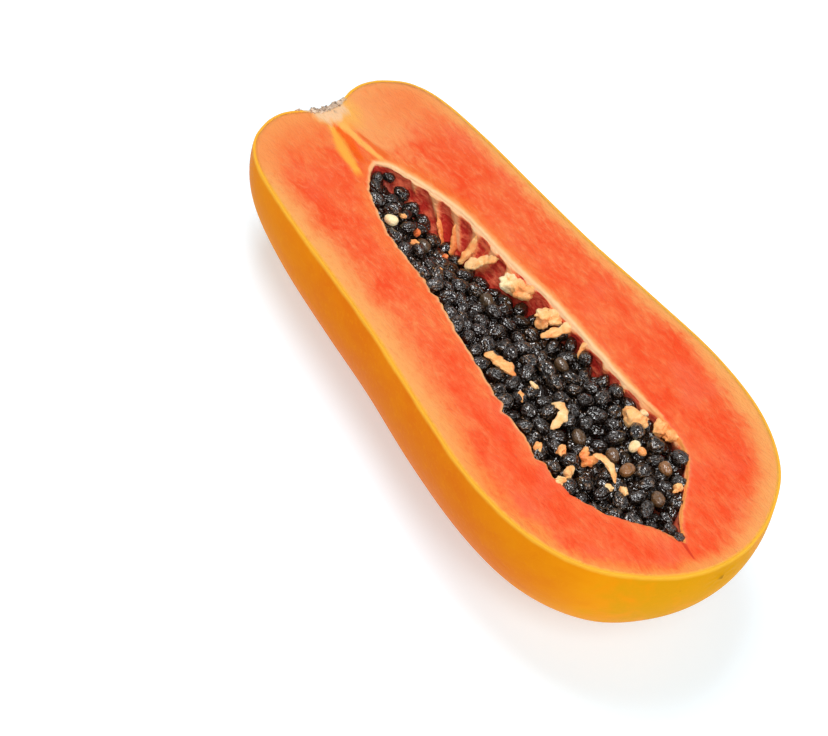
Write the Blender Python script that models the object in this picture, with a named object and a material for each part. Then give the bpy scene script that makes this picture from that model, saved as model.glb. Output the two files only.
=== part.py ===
"""Half of a ripe papaya, cut lengthwise, with its seeds still in the cavity.

The fruit is modelled along X, stem end at -X and blossom end at +X, with the cut face in the plane z = 0.
It is then tilted to the angle at which it settles on its skin, and set on the flat spot under its weight.
"""

import math
import random

import bmesh
import bpy
from mathutils import Euler, Matrix, Vector

MM = 0.001

# Driving dimensions, in millimetres

# The fruit's outer profile: place along the axis, radius. It runs from the stem dimple to the blossom tip.
FRUIT_PROFILE = (
    (-98.6, 0.0), (-99.6, 5.0), (-102.6, 11.0), (-103.6, 17.0), (-101.8, 24.0), (-96.5, 31.5),
    (-86.0, 36.6), (-66.0, 39.8), (-40.0, 41.8), (-14.0, 43.8), (14.0, 47.3), (42.0, 49.8),
    (66.0, 47.6), (85.0, 39.2), (97.0, 26.0), (103.5, 12.5), (105.6, 0.0),
)
# How far the fruit's axis lies below the cut face: the cut runs a little off centre.
AXIS_DROP = (
    (-104.0, 2.5), (-85.0, 6.0), (-50.0, 9.0), (-15.0, 9.6), (14.0, 9.3), (42.0, 7.4), (106.0, 6.0),
)

# The seed cavity at the cut face: place along the axis, near rim, far rim. Both tips are pointed.
CAVITY_RIM = (
    (-72.0, -1.0, -1.0), (-69.0, -5.0, 2.6), (-60.0, -10.4, 6.6), (-42.0, -14.6, 12.0), (-20.0, -15.6, 13.2),
    (6.0, -20.0, 15.6), (34.0, -24.2, 15.6), (56.0, -25.6, 17.4), (68.0, -23.4, 15.2), (77.0, -17.4, 7.6),
    (86.0, -9.6, -1.8), (93.0, -6.3, -6.3),
)
CAVITY_START = CAVITY_RIM[0][0]
CAVITY_END = CAVITY_RIM[-1][0]
CAVITY_DEPTH_RATIO = 1.25

# A seed's length, width and height. The level of the seed bed falls from the near rim to the far wall.
SEED_SIZE = (6.1, 4.8, 4.6)
SEED_SIZE_SPREAD = 0.1
SEED_TAPER = 0.25
SEED_SPACING = 5.9
ROW_SPACING = SEED_SPACING * math.sqrt(3) / 2
# How far a seed strays from its place in the row, as a share of the spacing, and how far it tips, in radians
SEED_STRAY = 0.16
SEED_TIP = 0.5
# Smaller seeds fill the pointed ends of the cavity: place along the axis, place across it, size
TIP_SEEDS = (
    (-66.4, -1.6, 0.82), (-64.2, -4.2, 0.85), (-63.6, 0.6, 0.85),
    (79.0, -2.4, 0.95), (82.6, -4.6, 0.85), (85.8, -5.7, 0.7),
)
SEED_BED_NEAR = -3.1
SEED_BED_FAR = ((-72.0, -4.0), (-50.0, -9.0), (-12.0, -10.5), (22.0, -7.0), (50.0, -4.6), (93.0, -3.4))
SEED_HEIGHT_SPREAD = 0.7
SEED_TOP_LIMIT = -0.5
BED_BELOW_SEEDS = 1.3
BED_LEAST_DEPTH = 0.5
BED_LEAST_FILL = 0.45
CLEARANCE = 0.85
# A seed that meets the wall moves inwards by these shares, across and along, a few times at most.
SETTLE_ACROSS = 0.12
SETTLE_ALONG = 0.012
SETTLE_STEPS = 16
RANDOM_SEED = 7

# Pulp strands that hang on the far wall: place along the axis, length down the wall, lean, thickness
STRANDS = (
    (-44.0, 6.5, 2.0, 2.4), (-37.0, 7.0, 3.0, 2.6), (-31.0, 7.5, -4.0, 3.0), (-23.0, 7.0, -4.0, 3.2),
    (-12.0, 5.5, 2.0, 4.6), (-2.0, 5.5, 1.5, 4.0), (9.0, 4.5, -3.0, 3.0),
)
STRAND_SIDES = 6
STRAND_STEPS = 4
STRAND_TOP = 1.6
STRAND_TAPER = 0.35
STRAND_PROUD = 0.55
STRAND_SLANT = 0.25
STRAND_CLEARANCE = 1.3

# The corky scar of the stalk lines the middle of the stem dimple.
SCAR_RADIUS = 7.0
SCAR_GAP = 0.35
SCAR_THICKNESS = 0.9
SCAR_BELOW_CUT = 0.4
SCAR_EDGE = (0.5, 0.1)
SCAR_BITS = 9
SCAR_BIT_SPREAD = (0.25, 0.8)
SCAR_BIT_SIZE = 1.5
SCAR_BIT_LIFT = 0.3
SCAR_BIT_STRETCH = (1.4, 0.9, 0.9)

# Resting attitude: the stem end settles lower, and the flat spot is pressed in by this much.
REST_TILT = 4.5
REST_FLAT = 1.1

# How finely the round surfaces are divided
PROFILE_STEPS = 3
SECTION_SIDES = 40
CAVITY_STATIONS = 26
CAVITY_SIDES = 12
BED_STATIONS = 16
BED_SIDES = 6
SEED_SIDES = 6
SEED_RINGS = 3

# Points closer than this are one point, and a point this near a plane lies in it.
SAME_POINT = 0.01
IN_PLANE = 0.001
# How far beyond the cavity's wall and under the cut face the flesh material reaches
FLESH_REACH = 1.5
FACE_DEPTH = 0.1


# Smooth curves through the hand-set stations


def smooth_between(stations, place):
    """Read a value, or several, at a place between stations, along a smooth curve through them."""
    last = len(stations) - 1
    place = min(max(place, stations[0][0]), stations[last][0])
    index = max(i for i in range(last) if stations[i][0] <= place)
    before, start = stations[max(index - 1, 0)], stations[index]
    end, after = stations[index + 1], stations[min(index + 2, last)]
    width = end[0] - start[0]
    t = (place - start[0]) / width
    values = []
    for column in range(1, len(start)):
        step = end[column] - start[column]
        rise_in = (end[column] - before[column]) / (end[0] - before[0]) * width
        rise_out = (after[column] - start[column]) / (after[0] - start[0]) * width
        if (start[column] - before[column]) * step <= 0:
            rise_in = 0.0 if index else step
        if (after[column] - end[column]) * step <= 0:
            rise_out = 0.0 if index + 1 < last else step
        values.append(
            start[column]
            + t * rise_in
            + t * t * (3 * step - 2 * rise_in - rise_out)
            + t * t * t * (rise_in + rise_out - 2 * step)
        )
    return values if len(values) > 1 else values[0]


def rounded_outline(points, steps):
    """Points along a smooth open curve that passes through all the given ones."""
    padded = [points[0], *points, points[-1]]
    outline = []
    for a, b, c, d in zip(padded, padded[1:], padded[2:], padded[3:]):
        a, b, c, d = (Vector(point) for point in (a, b, c, d))
        for step in range(steps):
            t = step / steps
            outline.append(
                b
                + (c - a) * (t / 2)
                + (2 * a - 5 * b + 4 * c - d) * (t * t / 2)
                + (3 * b - a - 3 * c + d) * (t * t * t / 2)
            )
    outline.append(Vector(points[-1]))
    return outline


# Small helpers for meshes and objects


def new_object(name, mesh_builder, material=None):
    """Turn a finished bmesh into an object in the scene's collection."""
    mesh = bpy.data.meshes.new(name)
    mesh_builder.to_mesh(mesh)
    mesh_builder.free()
    if material:
        mesh.materials.append(material)
    thing = bpy.data.objects.new(name, mesh)
    bpy.context.scene.collection.objects.link(thing)
    return thing


def plain_material(name, colour, roughness):
    """A Principled material with one colour, for a plant tissue."""
    material = bpy.data.materials.new(name)
    material.use_nodes = True
    shader = material.node_tree.nodes["Principled BSDF"]
    shader.inputs["Base Color"].default_value = (*colour, 1.0)
    shader.inputs["Roughness"].default_value = roughness
    shader.inputs["Metallic"].default_value = 0.0
    return material


def apply_boolean(thing, operation, other=None, collection=None):
    """Apply one exact Boolean to an object, with an object or a whole collection as its operand."""
    boolean = thing.modifiers.new("boolean", "BOOLEAN")
    boolean.operation = operation
    boolean.solver = "EXACT"
    if collection:
        boolean.operand_type = "COLLECTION"
        boolean.collection = collection
    else:
        boolean.object = other
    evaluated = thing.evaluated_get(bpy.context.evaluated_depsgraph_get())
    result = bpy.data.meshes.new_from_object(evaluated)
    thing.modifiers.remove(boolean)
    thing.data = result


def keep_outer_body(thing):
    """Drop sealed hollows and loose scraps, so that one closed body is left."""
    builder = bmesh.new()
    builder.from_mesh(thing.data)
    unseen = set(builder.faces)
    shells = []
    while unseen:
        shell = {unseen.pop()}
        front = list(shell)
        while front:
            face = front.pop()
            simple_edges = [edge for edge in face.edges if len(edge.link_faces) == 2]
            neighbours = {other for edge in simple_edges for other in edge.link_faces} & unseen
            unseen -= neighbours
            shell |= neighbours
            front.extend(neighbours)
        shells.append(shell)
    shells.sort(key=len)
    for shell in shells[:-1]:
        bmesh.ops.delete(builder, geom=list(shell), context="FACES")
    builder.to_mesh(thing.data)
    builder.free()
    print(thing.name, "shells dropped", [len(shell) for shell in shells[:-1]])


def fuse(thing, repeats):
    """Fuse loose closed bodies into an object, and remove the loose ones."""
    group = bpy.data.collections.new(thing.name + " repeats")
    bpy.context.scene.collection.children.link(group)
    for repeat in repeats:
        bpy.context.scene.collection.objects.unlink(repeat)
        group.objects.link(repeat)
    apply_boolean(thing, "UNION", collection=group)
    keep_outer_body(thing)
    for repeat in repeats:
        bpy.data.objects.remove(repeat)
    bpy.data.collections.remove(group)


def turned_about_x(outline, sides):
    """Spin an outline of (x, radius) points once about the X axis into a closed surface."""
    turned = bmesh.new()
    ring = [turned.verts.new((x, radius, 0.0)) for x, radius in outline]
    edges = [turned.edges.new(pair) for pair in zip(ring, ring[1:])]
    bmesh.ops.spin(
        turned, geom=ring + edges, cent=(0, 0, 0), axis=(1, 0, 0), angle=math.tau, steps=sides, use_merge=True
    )
    bmesh.ops.remove_doubles(turned, verts=turned.verts, dist=SAME_POINT * MM)
    return turned


def lower_to_axis(builder):
    """Bend a turned shape so that its axis follows the fruit's, below the cut face."""
    for vertex in builder.verts:
        vertex.co.z -= smooth_between(AXIS_DROP, vertex.co.x / MM) * MM


def cut_off(builder, height, side):
    """Cut a shape open at a level plane, keep what is not on that side of it, and return the cut's edges."""
    cut = bmesh.ops.bisect_plane(
        builder,
        geom=[*builder.verts, *builder.edges, *builder.faces],
        dist=IN_PLANE * MM,
        plane_co=(0, 0, height),
        plane_no=(0, 0, side),
        clear_outer=True,
    )
    return [piece for piece in cut["geom_cut"] if isinstance(piece, bmesh.types.BMEdge)]


def finish_body(builder):
    """Split every face into triangles and turn them all outwards."""
    bmesh.ops.triangulate(builder, faces=builder.faces)
    bmesh.ops.recalc_face_normals(builder, faces=builder.faces)


def closed_loft(rings, name):
    """Skin a row of equal closed rings as one outward-facing body, with its ends closed."""
    loft = bmesh.new()
    rows = [[loft.verts.new(Vector(point) * MM) for point in ring] for ring in rings]
    for row, following in zip(rows, rows[1:]):
        for side in range(len(row)):
            after = (side + 1) % len(row)
            loft.faces.new((row[side], row[after], following[after], following[side]))
    for row in (rows[0], rows[-1]):
        loft.faces.new(row)
    finish_body(loft)
    return new_object(name, loft)


# The cavity and the seed bed


def cavity_section(place):
    """Middle, half width and depth of the cavity at a place along the axis."""
    near, far = smooth_between(CAVITY_RIM, place)
    half = (far - near) / 2
    return (far + near) / 2, half, half * CAVITY_DEPTH_RATIO


def cavity_places(stations):
    """Places along the cavity, closer together towards its pointed tips."""
    for step in range(stations + 1):
        yield CAVITY_START + (CAVITY_END - CAVITY_START) * (1 - math.cos(math.pi * step / stations)) / 2


def line_cavity(builder):
    """Add the hollow that holds the seeds, from its rim in the cut face down, and return the rim's edges."""
    rows = []
    for place in cavity_places(CAVITY_STATIONS):
        middle, half, depth = cavity_section(place)
        row = []
        for side in range(CAVITY_SIDES + 1):
            angle = math.pi * side / CAVITY_SIDES
            spot = Vector((place, middle - half * math.cos(angle), -depth * math.sin(angle)))
            row.append(builder.verts.new(spot * MM))
        rows.append(row)
    for row, following in zip(rows, rows[1:]):
        for side in range(CAVITY_SIDES):
            builder.faces.new((row[side], row[side + 1], following[side + 1], following[side]))
    bmesh.ops.remove_doubles(builder, verts=rows[0] + rows[-1], dist=2 * SAME_POINT * MM)
    open_edges = [edge for edge in builder.edges if edge.is_boundary]
    return [edge for edge in open_edges if max(abs(v.co.z) for v in edge.verts) < IN_PLANE * MM]


def bed_level(place, across):
    """Height of the seeds' middles: high along the near rim, low along the far wall, higher in the tips."""
    middle, half, depth = cavity_section(place)
    far_level = smooth_between(SEED_BED_FAR, place)
    share = min(max((across - middle + half) / max(2 * half, 1.0), 0.0), 1.0)
    share = share * share * (3 - 2 * share)
    return max(SEED_BED_NEAR + (far_level - SEED_BED_NEAR) * share, -BED_LEAST_FILL * depth)


def seed_bed():
    """The packed lower seeds, as one core that follows the cavity and stays clear of it."""
    rings = []
    for place in cavity_places(BED_STATIONS):
        middle, half, depth = cavity_section(place)
        inner, floor = half - CLEARANCE, depth - CLEARANCE
        near_level = bed_level(place, middle - half) - BED_BELOW_SEEDS
        far_level = bed_level(place, middle + half) - BED_BELOW_SEEDS
        if floor < BED_LEAST_DEPTH - far_level:
            continue
        near_angle = math.asin(-near_level / floor)
        far_angle = math.pi - math.asin(-far_level / floor)
        ring = []
        for side in range(BED_SIDES + 1):
            angle = near_angle + (far_angle - near_angle) * side / BED_SIDES
            ring.append((place, middle - inner * math.cos(angle), -floor * math.sin(angle)))
        for side in range(1, BED_SIDES):
            across = ring[BED_SIDES][1] + (ring[0][1] - ring[BED_SIDES][1]) * side / BED_SIDES
            ring.append((place, across, bed_level(place, across) - BED_BELOW_SEEDS))
        rings.append(ring)
    return rings


def strand_line(place, length, lean, thickness):
    """Middles and radii down one pulp strand, from its root under the far rim to its tip."""
    line = []
    for step in range(STRAND_STEPS + 1):
        share = step / STRAND_STEPS
        middle, half, depth = cavity_section(place + lean * share)
        drop = STRAND_TOP + (length - STRAND_TOP) * share
        wall = middle + half * math.sqrt(1 - (drop / depth) ** 2)
        radius = thickness / 2 * (1 - STRAND_TAPER * share)
        line.append((Vector((place + lean * share, wall - radius * STRAND_PROUD, -drop)), radius))
    return line


def clear_of_strands(point, strand_middles):
    """Whether a point keeps its distance from every pulp strand."""
    return all((point - centre).length > radius + STRAND_CLEARANCE for centre, radius in strand_middles)


def inside_cavity(point, margin):
    """Whether a point below the cut face is clear of the cavity's wall."""
    middle, half, depth = cavity_section(point.x)
    half, depth = half - margin, depth - margin
    if half <= 0 or point.z > SEED_TOP_LIMIT:
        return False
    return ((point.y - middle) / half) ** 2 + (point.z / depth) ** 2 < 1


def seed_mesh():
    """One seed: a small ovoid with few sides, narrower at one end."""
    seed = bmesh.new()
    bmesh.ops.create_uvsphere(seed, u_segments=SEED_SIDES, v_segments=SEED_RINGS, radius=0.5)
    for vertex in seed.verts:
        across, up, along = vertex.co
        taper = 1 - SEED_TAPER * along
        vertex.co = Vector((along * SEED_SIZE[0], across * SEED_SIZE[1] * taper, up * SEED_SIZE[2] * taper))
    finish_body(seed)
    return seed


def seed_spots():
    """Places and sizes of seeds, seen from above: a few set in the pointed ends, then staggered rows."""
    yield from TIP_SEEDS
    nearest = min(near for _, near, _ in CAVITY_RIM)
    furthest = max(far for _, _, far in CAVITY_RIM)
    row = 0
    place = TIP_SEEDS[0][0] + 1.5 * ROW_SPACING
    while place < TIP_SEEDS[-1][0] - ROW_SPACING:
        across = nearest + (row % 2) * SEED_SPACING / 2
        while across < furthest:
            yield place, across, 1.0
            across += SEED_SPACING
        place += ROW_SPACING
        row += 1


def placed_seeds():
    """Loose seeds set over the bed, each turned and moved a little by chance."""
    chance = random.Random(RANDOM_SEED)
    pattern = seed_mesh()
    corners = [vertex.co.copy() for vertex in pattern.verts]
    pattern.free()
    strand_middles = [middle for values in STRANDS for middle in strand_line(*values)]
    stray = SEED_STRAY * SEED_SPACING
    seeds = []
    for place, across, size in seed_spots():
        spot = Vector((place + chance.uniform(-stray, stray), across + chance.uniform(-stray, stray), 0.0))
        turn = Euler((
            chance.uniform(-math.pi, math.pi),
            chance.uniform(-SEED_TIP, SEED_TIP),
            chance.uniform(-math.pi, math.pi),
        )).to_matrix()
        turn = turn * size * (1 + chance.uniform(-SEED_SIZE_SPREAD, SEED_SIZE_SPREAD))
        lift = chance.uniform(-SEED_HEIGHT_SPREAD, SEED_HEIGHT_SPREAD)
        seed = settled_seed(spot, turn, lift, corners, strand_middles)
        if seed:
            seeds.append(seed)
    return seeds


def settled_seed(spot, turn, lift, corners, strand_middles):
    """Move a seed inwards until it is clear of the wall, or drop it if it starts outside or finds no room."""
    middle, half, _ = cavity_section(spot.x)
    if not CAVITY_START < spot.x < CAVITY_END or abs(spot.y - middle) > half:
        return None
    for _ in range(SETTLE_STEPS):
        middle, half, _ = cavity_section(spot.x)
        spot.z = bed_level(spot.x, spot.y) + lift
        points = [turn @ corner + spot for corner in corners]
        over = max(point.z for point in points) - SEED_TOP_LIMIT
        if over > 0:
            points = [point - Vector((0, 0, over + SAME_POINT)) for point in points]
        in_room = all(inside_cavity(point, CLEARANCE) for point in points)
        if in_room and all(clear_of_strands(point, strand_middles) for point in points):
            return points
        spot.y += (middle - spot.y) * SETTLE_ACROSS
        spot.x += ((CAVITY_START + CAVITY_END) / 2 - spot.x) * SETTLE_ALONG
    return None


def build_seeds(material):
    """All the seeds as one body: the loose ones fused into the bed that they sink into."""
    seeds = closed_loft(seed_bed(), "seeds")
    seeds.data.materials.append(material)
    repeats = []
    for points in placed_seeds():
        seed = seed_mesh()
        for vertex, point in zip(seed.verts, points):
            vertex.co = point * MM
        repeats.append(new_object("seed", seed))
    fuse(seeds, repeats)
    print("seeds fused", len(repeats))
    return seeds


# The flesh and skin


def strand(place, length, lean, thickness):
    """One pulp strand: a tapered rod that leaves the far wall under the rim and hangs down beside it."""
    rings = []
    for centre, radius in strand_line(place, length, lean, thickness):
        ring = []
        for side in range(STRAND_SIDES):
            angle = math.tau * side / STRAND_SIDES
            spoke = Vector((math.cos(angle), math.sin(angle), STRAND_SLANT * math.cos(angle)))
            ring.append(centre + spoke * radius)
        rings.append(ring)
    return closed_loft(rings, "strand")


def build_fruit(skin, flesh):
    """The half fruit, skin and flesh as the one piece it grew as, with the cavity and the pulp strands."""
    outline = [(point.x * MM, point.y * MM) for point in rounded_outline(FRUIT_PROFILE, PROFILE_STEPS)]
    body = turned_about_x(outline, SECTION_SIDES)
    lower_to_axis(body)
    cut_off(body, 0.0, 1)
    rims = line_cavity(body)
    bmesh.ops.triangle_fill(body, edges=rims, use_beauty=True)
    finish_body(body)
    fruit = new_object("papaya_half", body, skin)
    fruit.data.materials.append(flesh)
    fuse(fruit, [strand(*values) for values in STRANDS])
    return fruit


def colour_flesh(fruit):
    """Give the cut face and the cavity the flesh material, and leave the skin on the outside."""
    for face in fruit.data.polygons:
        place, across, height = face.center / MM
        on_cut = face.normal.z > 0.5 and height > -FACE_DEPTH
        middle, half, depth = cavity_section(place)
        reach = ((across - middle) / (half + FLESH_REACH)) ** 2 + (height / (depth + FLESH_REACH)) ** 2
        in_cavity = CAVITY_START < place < CAVITY_END and reach < 1
        face.material_index = 1 if on_cut or in_cavity else 0


def build_scar(material):
    """The corky scar of the stalk: a thin rough lining in the stem dimple, cut level with the fruit."""
    chance = random.Random(RANDOM_SEED)
    dimple = [point for point in rounded_outline(FRUIT_PROFILE[:4], PROFILE_STEPS) if point.y <= SCAR_RADIUS]
    inner = [(point.x - SCAR_GAP, point.y) for point in dimple]
    rim_x, rim_radius = inner[-1]
    outer = [(x - SCAR_THICKNESS, radius) for x, radius in inner[:-1]]
    edge = (rim_x - SCAR_THICKNESS * SCAR_EDGE[0], rim_radius + SCAR_EDGE[1])
    outline = inner + [edge] + outer[::-1]
    lining = turned_about_x([(x * MM, radius * MM) for x, radius in outline], SECTION_SIDES // 2)
    lower_to_axis(lining)
    bmesh.ops.edgeloop_fill(lining, edges=cut_off(lining, -SCAR_BELOW_CUT * MM, 1))
    finish_body(lining)
    scar = new_object("stem_scar", lining, material)
    bits = []
    for index in range(SCAR_BITS):
        angle = -math.pi * (index + 0.5) / SCAR_BITS
        radius = SCAR_RADIUS * chance.uniform(*SCAR_BIT_SPREAD)
        x, _ = min(outer, key=lambda point: abs(point[1] - radius))
        x -= SCAR_BIT_LIFT
        spot = Vector((x, radius * math.cos(angle), radius * math.sin(angle) - smooth_between(AXIS_DROP, x)))
        turn = Euler([chance.uniform(0, math.pi) for _ in range(3)]).to_matrix().to_4x4()
        bit = bmesh.new()
        bmesh.ops.create_icosphere(bit, subdivisions=1, radius=SCAR_BIT_SIZE / 2 * MM)
        place = Matrix.Translation(spot * MM) @ Matrix.Diagonal((*SCAR_BIT_STRETCH, 1)) @ turn
        bmesh.ops.transform(bit, matrix=place, verts=bit.verts)
        bits.append(new_object("scar bit", bit))
    fuse(scar, bits)
    return scar


# Resting attitude


def settle(things, fruit):
    """Tilt everything to the resting angle, press in the flat spot and centre the fruit over the origin."""
    tilt = Matrix.Rotation(math.radians(-REST_TILT), 4, "Y")
    for thing in things:
        thing.data.transform(tilt)
    floor = min(vertex.co.z for vertex in fruit.data.vertices) + REST_FLAT * MM
    builder = bmesh.new()
    builder.from_mesh(fruit.data)
    bmesh.ops.edgeloop_fill(builder, edges=cut_off(builder, floor, -1))
    finish_body(builder)
    builder.to_mesh(fruit.data)
    builder.free()
    lows = [min(vertex.co[axis] for vertex in fruit.data.vertices) for axis in range(3)]
    highs = [max(vertex.co[axis] for vertex in fruit.data.vertices) for axis in range(3)]
    shift = Matrix.Translation((-(lows[0] + highs[0]) / 2, -(lows[1] + highs[1]) / 2, -lows[2]))
    for thing in things:
        thing.data.transform(shift)
        thing.data.shade_flat()
    print("shift mm", [round(value / MM, 3) for value in shift.to_translation()])
    print("size mm", [round((high - low) / MM, 2) for low, high in zip(lows, highs)])
    flat = [vertex.co for vertex in fruit.data.vertices if vertex.co.z < SAME_POINT * MM]
    print("flat spot mm", [
        (round(min(co[axis] for co in flat) / MM, 1), round(max(co[axis] for co in flat) / MM, 1))
        for axis in range(2)
    ])


def main():
    for thing in list(bpy.data.objects):
        bpy.data.objects.remove(thing)
    skin = plain_material("papaya skin", (0.83, 0.32, 0.02), 0.45)
    flesh = plain_material("papaya flesh", (0.95, 0.14, 0.05), 0.4)
    seed = plain_material("papaya seed", (0.02, 0.017, 0.015), 0.3)
    cork = plain_material("stalk cork", (0.3, 0.22, 0.15), 0.9)
    fruit = build_fruit(skin, flesh)
    colour_flesh(fruit)
    things = [fruit, build_seeds(seed), build_scar(cork)]
    settle(things, fruit)
    for thing in things:
        print(thing.name, "faces", len(thing.data.polygons))


main()
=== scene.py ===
# %% [markdown]
# # Half of a ripe papaya
#
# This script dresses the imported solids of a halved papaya: a waisted fruit about 21 cm long, cut
# lengthwise, lying on its skin with the cut face up. The cut shows orange-red flesh and a long pointed
# cavity full of dark seeds.
#
# A fruit has hardly a straight line, so it could be sculpted freely. Here every piece is worked out from
# the same few numbers as the solids instead: the outline that was turned to make the skin, the line along
# which its axis runs, and the rim of the cavity. The pieces then fit each other and the solids without any
# measuring.

# %% The fixed frame
import contextlib
import math
import random

import bpy
from mathutils import Euler, Matrix, Vector, kdtree, noise


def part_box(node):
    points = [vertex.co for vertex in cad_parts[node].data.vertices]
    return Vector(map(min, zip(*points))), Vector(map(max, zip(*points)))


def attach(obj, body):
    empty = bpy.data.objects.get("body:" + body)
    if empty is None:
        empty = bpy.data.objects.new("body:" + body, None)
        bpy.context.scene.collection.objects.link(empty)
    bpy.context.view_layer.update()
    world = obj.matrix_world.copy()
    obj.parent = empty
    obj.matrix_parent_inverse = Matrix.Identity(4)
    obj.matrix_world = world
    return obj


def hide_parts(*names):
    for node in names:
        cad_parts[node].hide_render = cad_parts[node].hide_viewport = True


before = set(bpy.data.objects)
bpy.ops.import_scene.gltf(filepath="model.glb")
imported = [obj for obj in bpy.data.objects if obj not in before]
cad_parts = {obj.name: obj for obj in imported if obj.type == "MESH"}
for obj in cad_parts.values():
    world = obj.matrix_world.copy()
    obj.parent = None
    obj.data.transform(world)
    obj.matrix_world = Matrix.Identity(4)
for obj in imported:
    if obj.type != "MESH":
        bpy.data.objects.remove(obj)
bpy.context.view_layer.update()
MM = 0.001


def in_mm(lengths):
    """Lengths in metres, as rounded millimetres for a printed line."""
    return [round(length / MM, 2) for length in lengths]


# %% [markdown]
# The colours of ripe flesh are strong and bright. Blender's default view transform dulls such colours to
# protect the highlights, so the plain Standard one is chosen, which shows a colour as it is.

# %% Plain colours
bpy.context.scene.view_settings.view_transform = "Standard"
print("view transform", bpy.context.scene.view_settings.view_transform)

# %% [markdown]
# ## The shape in numbers
#
# The fruit is drawn lying along X, stem end at -X and blossom end at +X, with the cut face in the plane z =
# 0. Each cross-section is a circle whose centre lies a little under the cut, because the knife ran a little
# off the middle.

# %% The fruit's own numbers, in millimetres
FRUIT_PROFILE = (
    (-98.6, 0.0), (-99.6, 5.0), (-102.6, 11.0), (-103.6, 17.0), (-101.8, 24.0), (-96.5, 31.5),
    (-86.0, 36.6), (-66.0, 39.8), (-40.0, 41.8), (-14.0, 43.8), (14.0, 47.3), (42.0, 49.8),
    (66.0, 47.6), (85.0, 39.2), (97.0, 26.0), (103.5, 12.5), (105.6, 0.0),
)
AXIS_DROP = ((-104.0, 2.5), (-85.0, 6.0), (-50.0, 9.0), (-15.0, 9.6), (14.0, 9.3), (42.0, 7.4), (106.0, 6.0))
CAVITY_RIM = (
    (-72.0, -1.0, -1.0), (-69.0, -5.0, 2.6), (-60.0, -10.4, 6.6), (-42.0, -14.6, 12.0), (-20.0, -15.6, 13.2),
    (6.0, -20.0, 15.6), (34.0, -24.2, 15.6), (56.0, -25.6, 17.4), (68.0, -23.4, 15.2), (77.0, -17.4, 7.6),
    (86.0, -9.6, -1.8), (93.0, -6.3, -6.3),
)
CAVITY_DEPTH_RATIO = 1.25
REST_TILT = 4.5
SKIN_THICKNESS = 0.85
print("stations", len(FRUIT_PROFILE), "along the outline and", len(CAVITY_RIM), "along the cavity")


# %% Smooth curves through the stations
def smooth_between(stations, place):
    """Read a value, or several, at a place between stations, along a smooth curve through them."""
    last = len(stations) - 1
    place = min(max(place, stations[0][0]), stations[last][0])
    index = max(i for i in range(last) if stations[i][0] <= place)
    before, start = stations[max(index - 1, 0)], stations[index]
    end, after = stations[index + 1], stations[min(index + 2, last)]
    width = end[0] - start[0]
    t = (place - start[0]) / width
    values = []
    for column in range(1, len(start)):
        step = end[column] - start[column]
        rise_in = (end[column] - before[column]) / (end[0] - before[0]) * width
        rise_out = (after[column] - start[column]) / (after[0] - start[0]) * width
        if (start[column] - before[column]) * step <= 0:
            rise_in = 0.0 if index else step
        if (after[column] - end[column]) * step <= 0:
            rise_out = 0.0 if index + 1 < last else step
        values.append(
            start[column]
            + t * rise_in
            + t * t * (3 * step - 2 * rise_in - rise_out)
            + t * t * t * (rise_in + rise_out - 2 * step)
        )
    return values if len(values) > 1 else values[0]


def rounded_outline(points, steps):
    """Points along a smooth open curve that passes through all the given ones."""
    padded = [points[0], *points, points[-1]]
    outline = []
    for a, b, c, d in zip(padded, padded[1:], padded[2:], padded[3:]):
        a, b, c, d = (Vector(point) for point in (a, b, c, d))
        for step in range(steps):
            t = step / steps
            outline.append(
                b
                + (c - a) * (t / 2)
                + (2 * a - 5 * b + 4 * c - d) * (t * t / 2)
                + (3 * b - a - 3 * c + d) * (t * t * t / 2)
            )
    outline.append(Vector(points[-1]))
    return outline


def axis_drop(place):
    """How far the fruit's axis lies under the cut face."""
    return smooth_between(AXIS_DROP, place)


def cavity_section(place):
    """Middle, half width and depth of the cavity at a place along the axis."""
    near, far = smooth_between(CAVITY_RIM, place)
    half = (far - near) / 2
    return (far + near) / 2, half, half * CAVITY_DEPTH_RATIO


def bell(distance, width):
    """A bell curve: 1 at no distance, and about a third at one width."""
    return math.exp(-((distance / width) ** 2))


def between(low, value, high):
    """The value, kept from falling below the low limit or rising above the high one."""
    return min(max(value, low), high)


print("cavity at 30 mm: middle, half width, depth", [round(value, 1) for value in cavity_section(30)])


# %% Working in edit mode
def start_from(name, add, **settings):
    """Deselect everything, add a primitive, name it, and return it."""
    bpy.ops.object.select_all(action="DESELECT")
    add(**settings)
    thing = bpy.context.object
    thing.name = thing.data.name = name
    return thing


@contextlib.contextmanager
def edit_mode(selection="SELECT"):
    """Work in edit mode on the active piece, with all of it selected, or none, or what was before."""
    bpy.ops.object.mode_set(mode="EDIT")
    if selection:
        bpy.ops.mesh.select_all(action=selection)
    yield
    bpy.ops.object.mode_set(mode="OBJECT")


def close_and_turn_out(distance=0.004):
    """Merge vertices that lie together, close what is still open, and turn every face outwards."""
    with edit_mode():
        bpy.ops.mesh.remove_doubles(threshold=distance * MM)
        bpy.ops.mesh.fill_holes(sides=0)
        bpy.ops.mesh.select_all(action="SELECT")
        bpy.ops.mesh.normals_make_consistent(inside=False)


def apply_modifier(thing, kind, **settings):
    """Add one modifier with its settings and apply it at once."""
    modifier = thing.modifiers.new(kind.lower(), kind)
    for name, value in settings.items():
        setattr(modifier, name, value)
    bpy.context.view_layer.objects.active = thing
    bpy.ops.object.modifier_apply(modifier=modifier.name)


# %% [markdown]
# ## The skin
#
# Papaya skin is a waxy layer under a millimetre thick. A papaya is very nearly round, so its skin is made
# as a turner would: the outline is spun once about the axis, the axis is bent to its real line, and
# everything above the knife's plane is cut away. Solidify then gives the open bowl its thickness, inwards,
# and a small bevel rounds the cut edge.

# %% The skin's bowl
OUTLINE_STEPS = 9
SKIN_TURNS = 144


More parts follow.
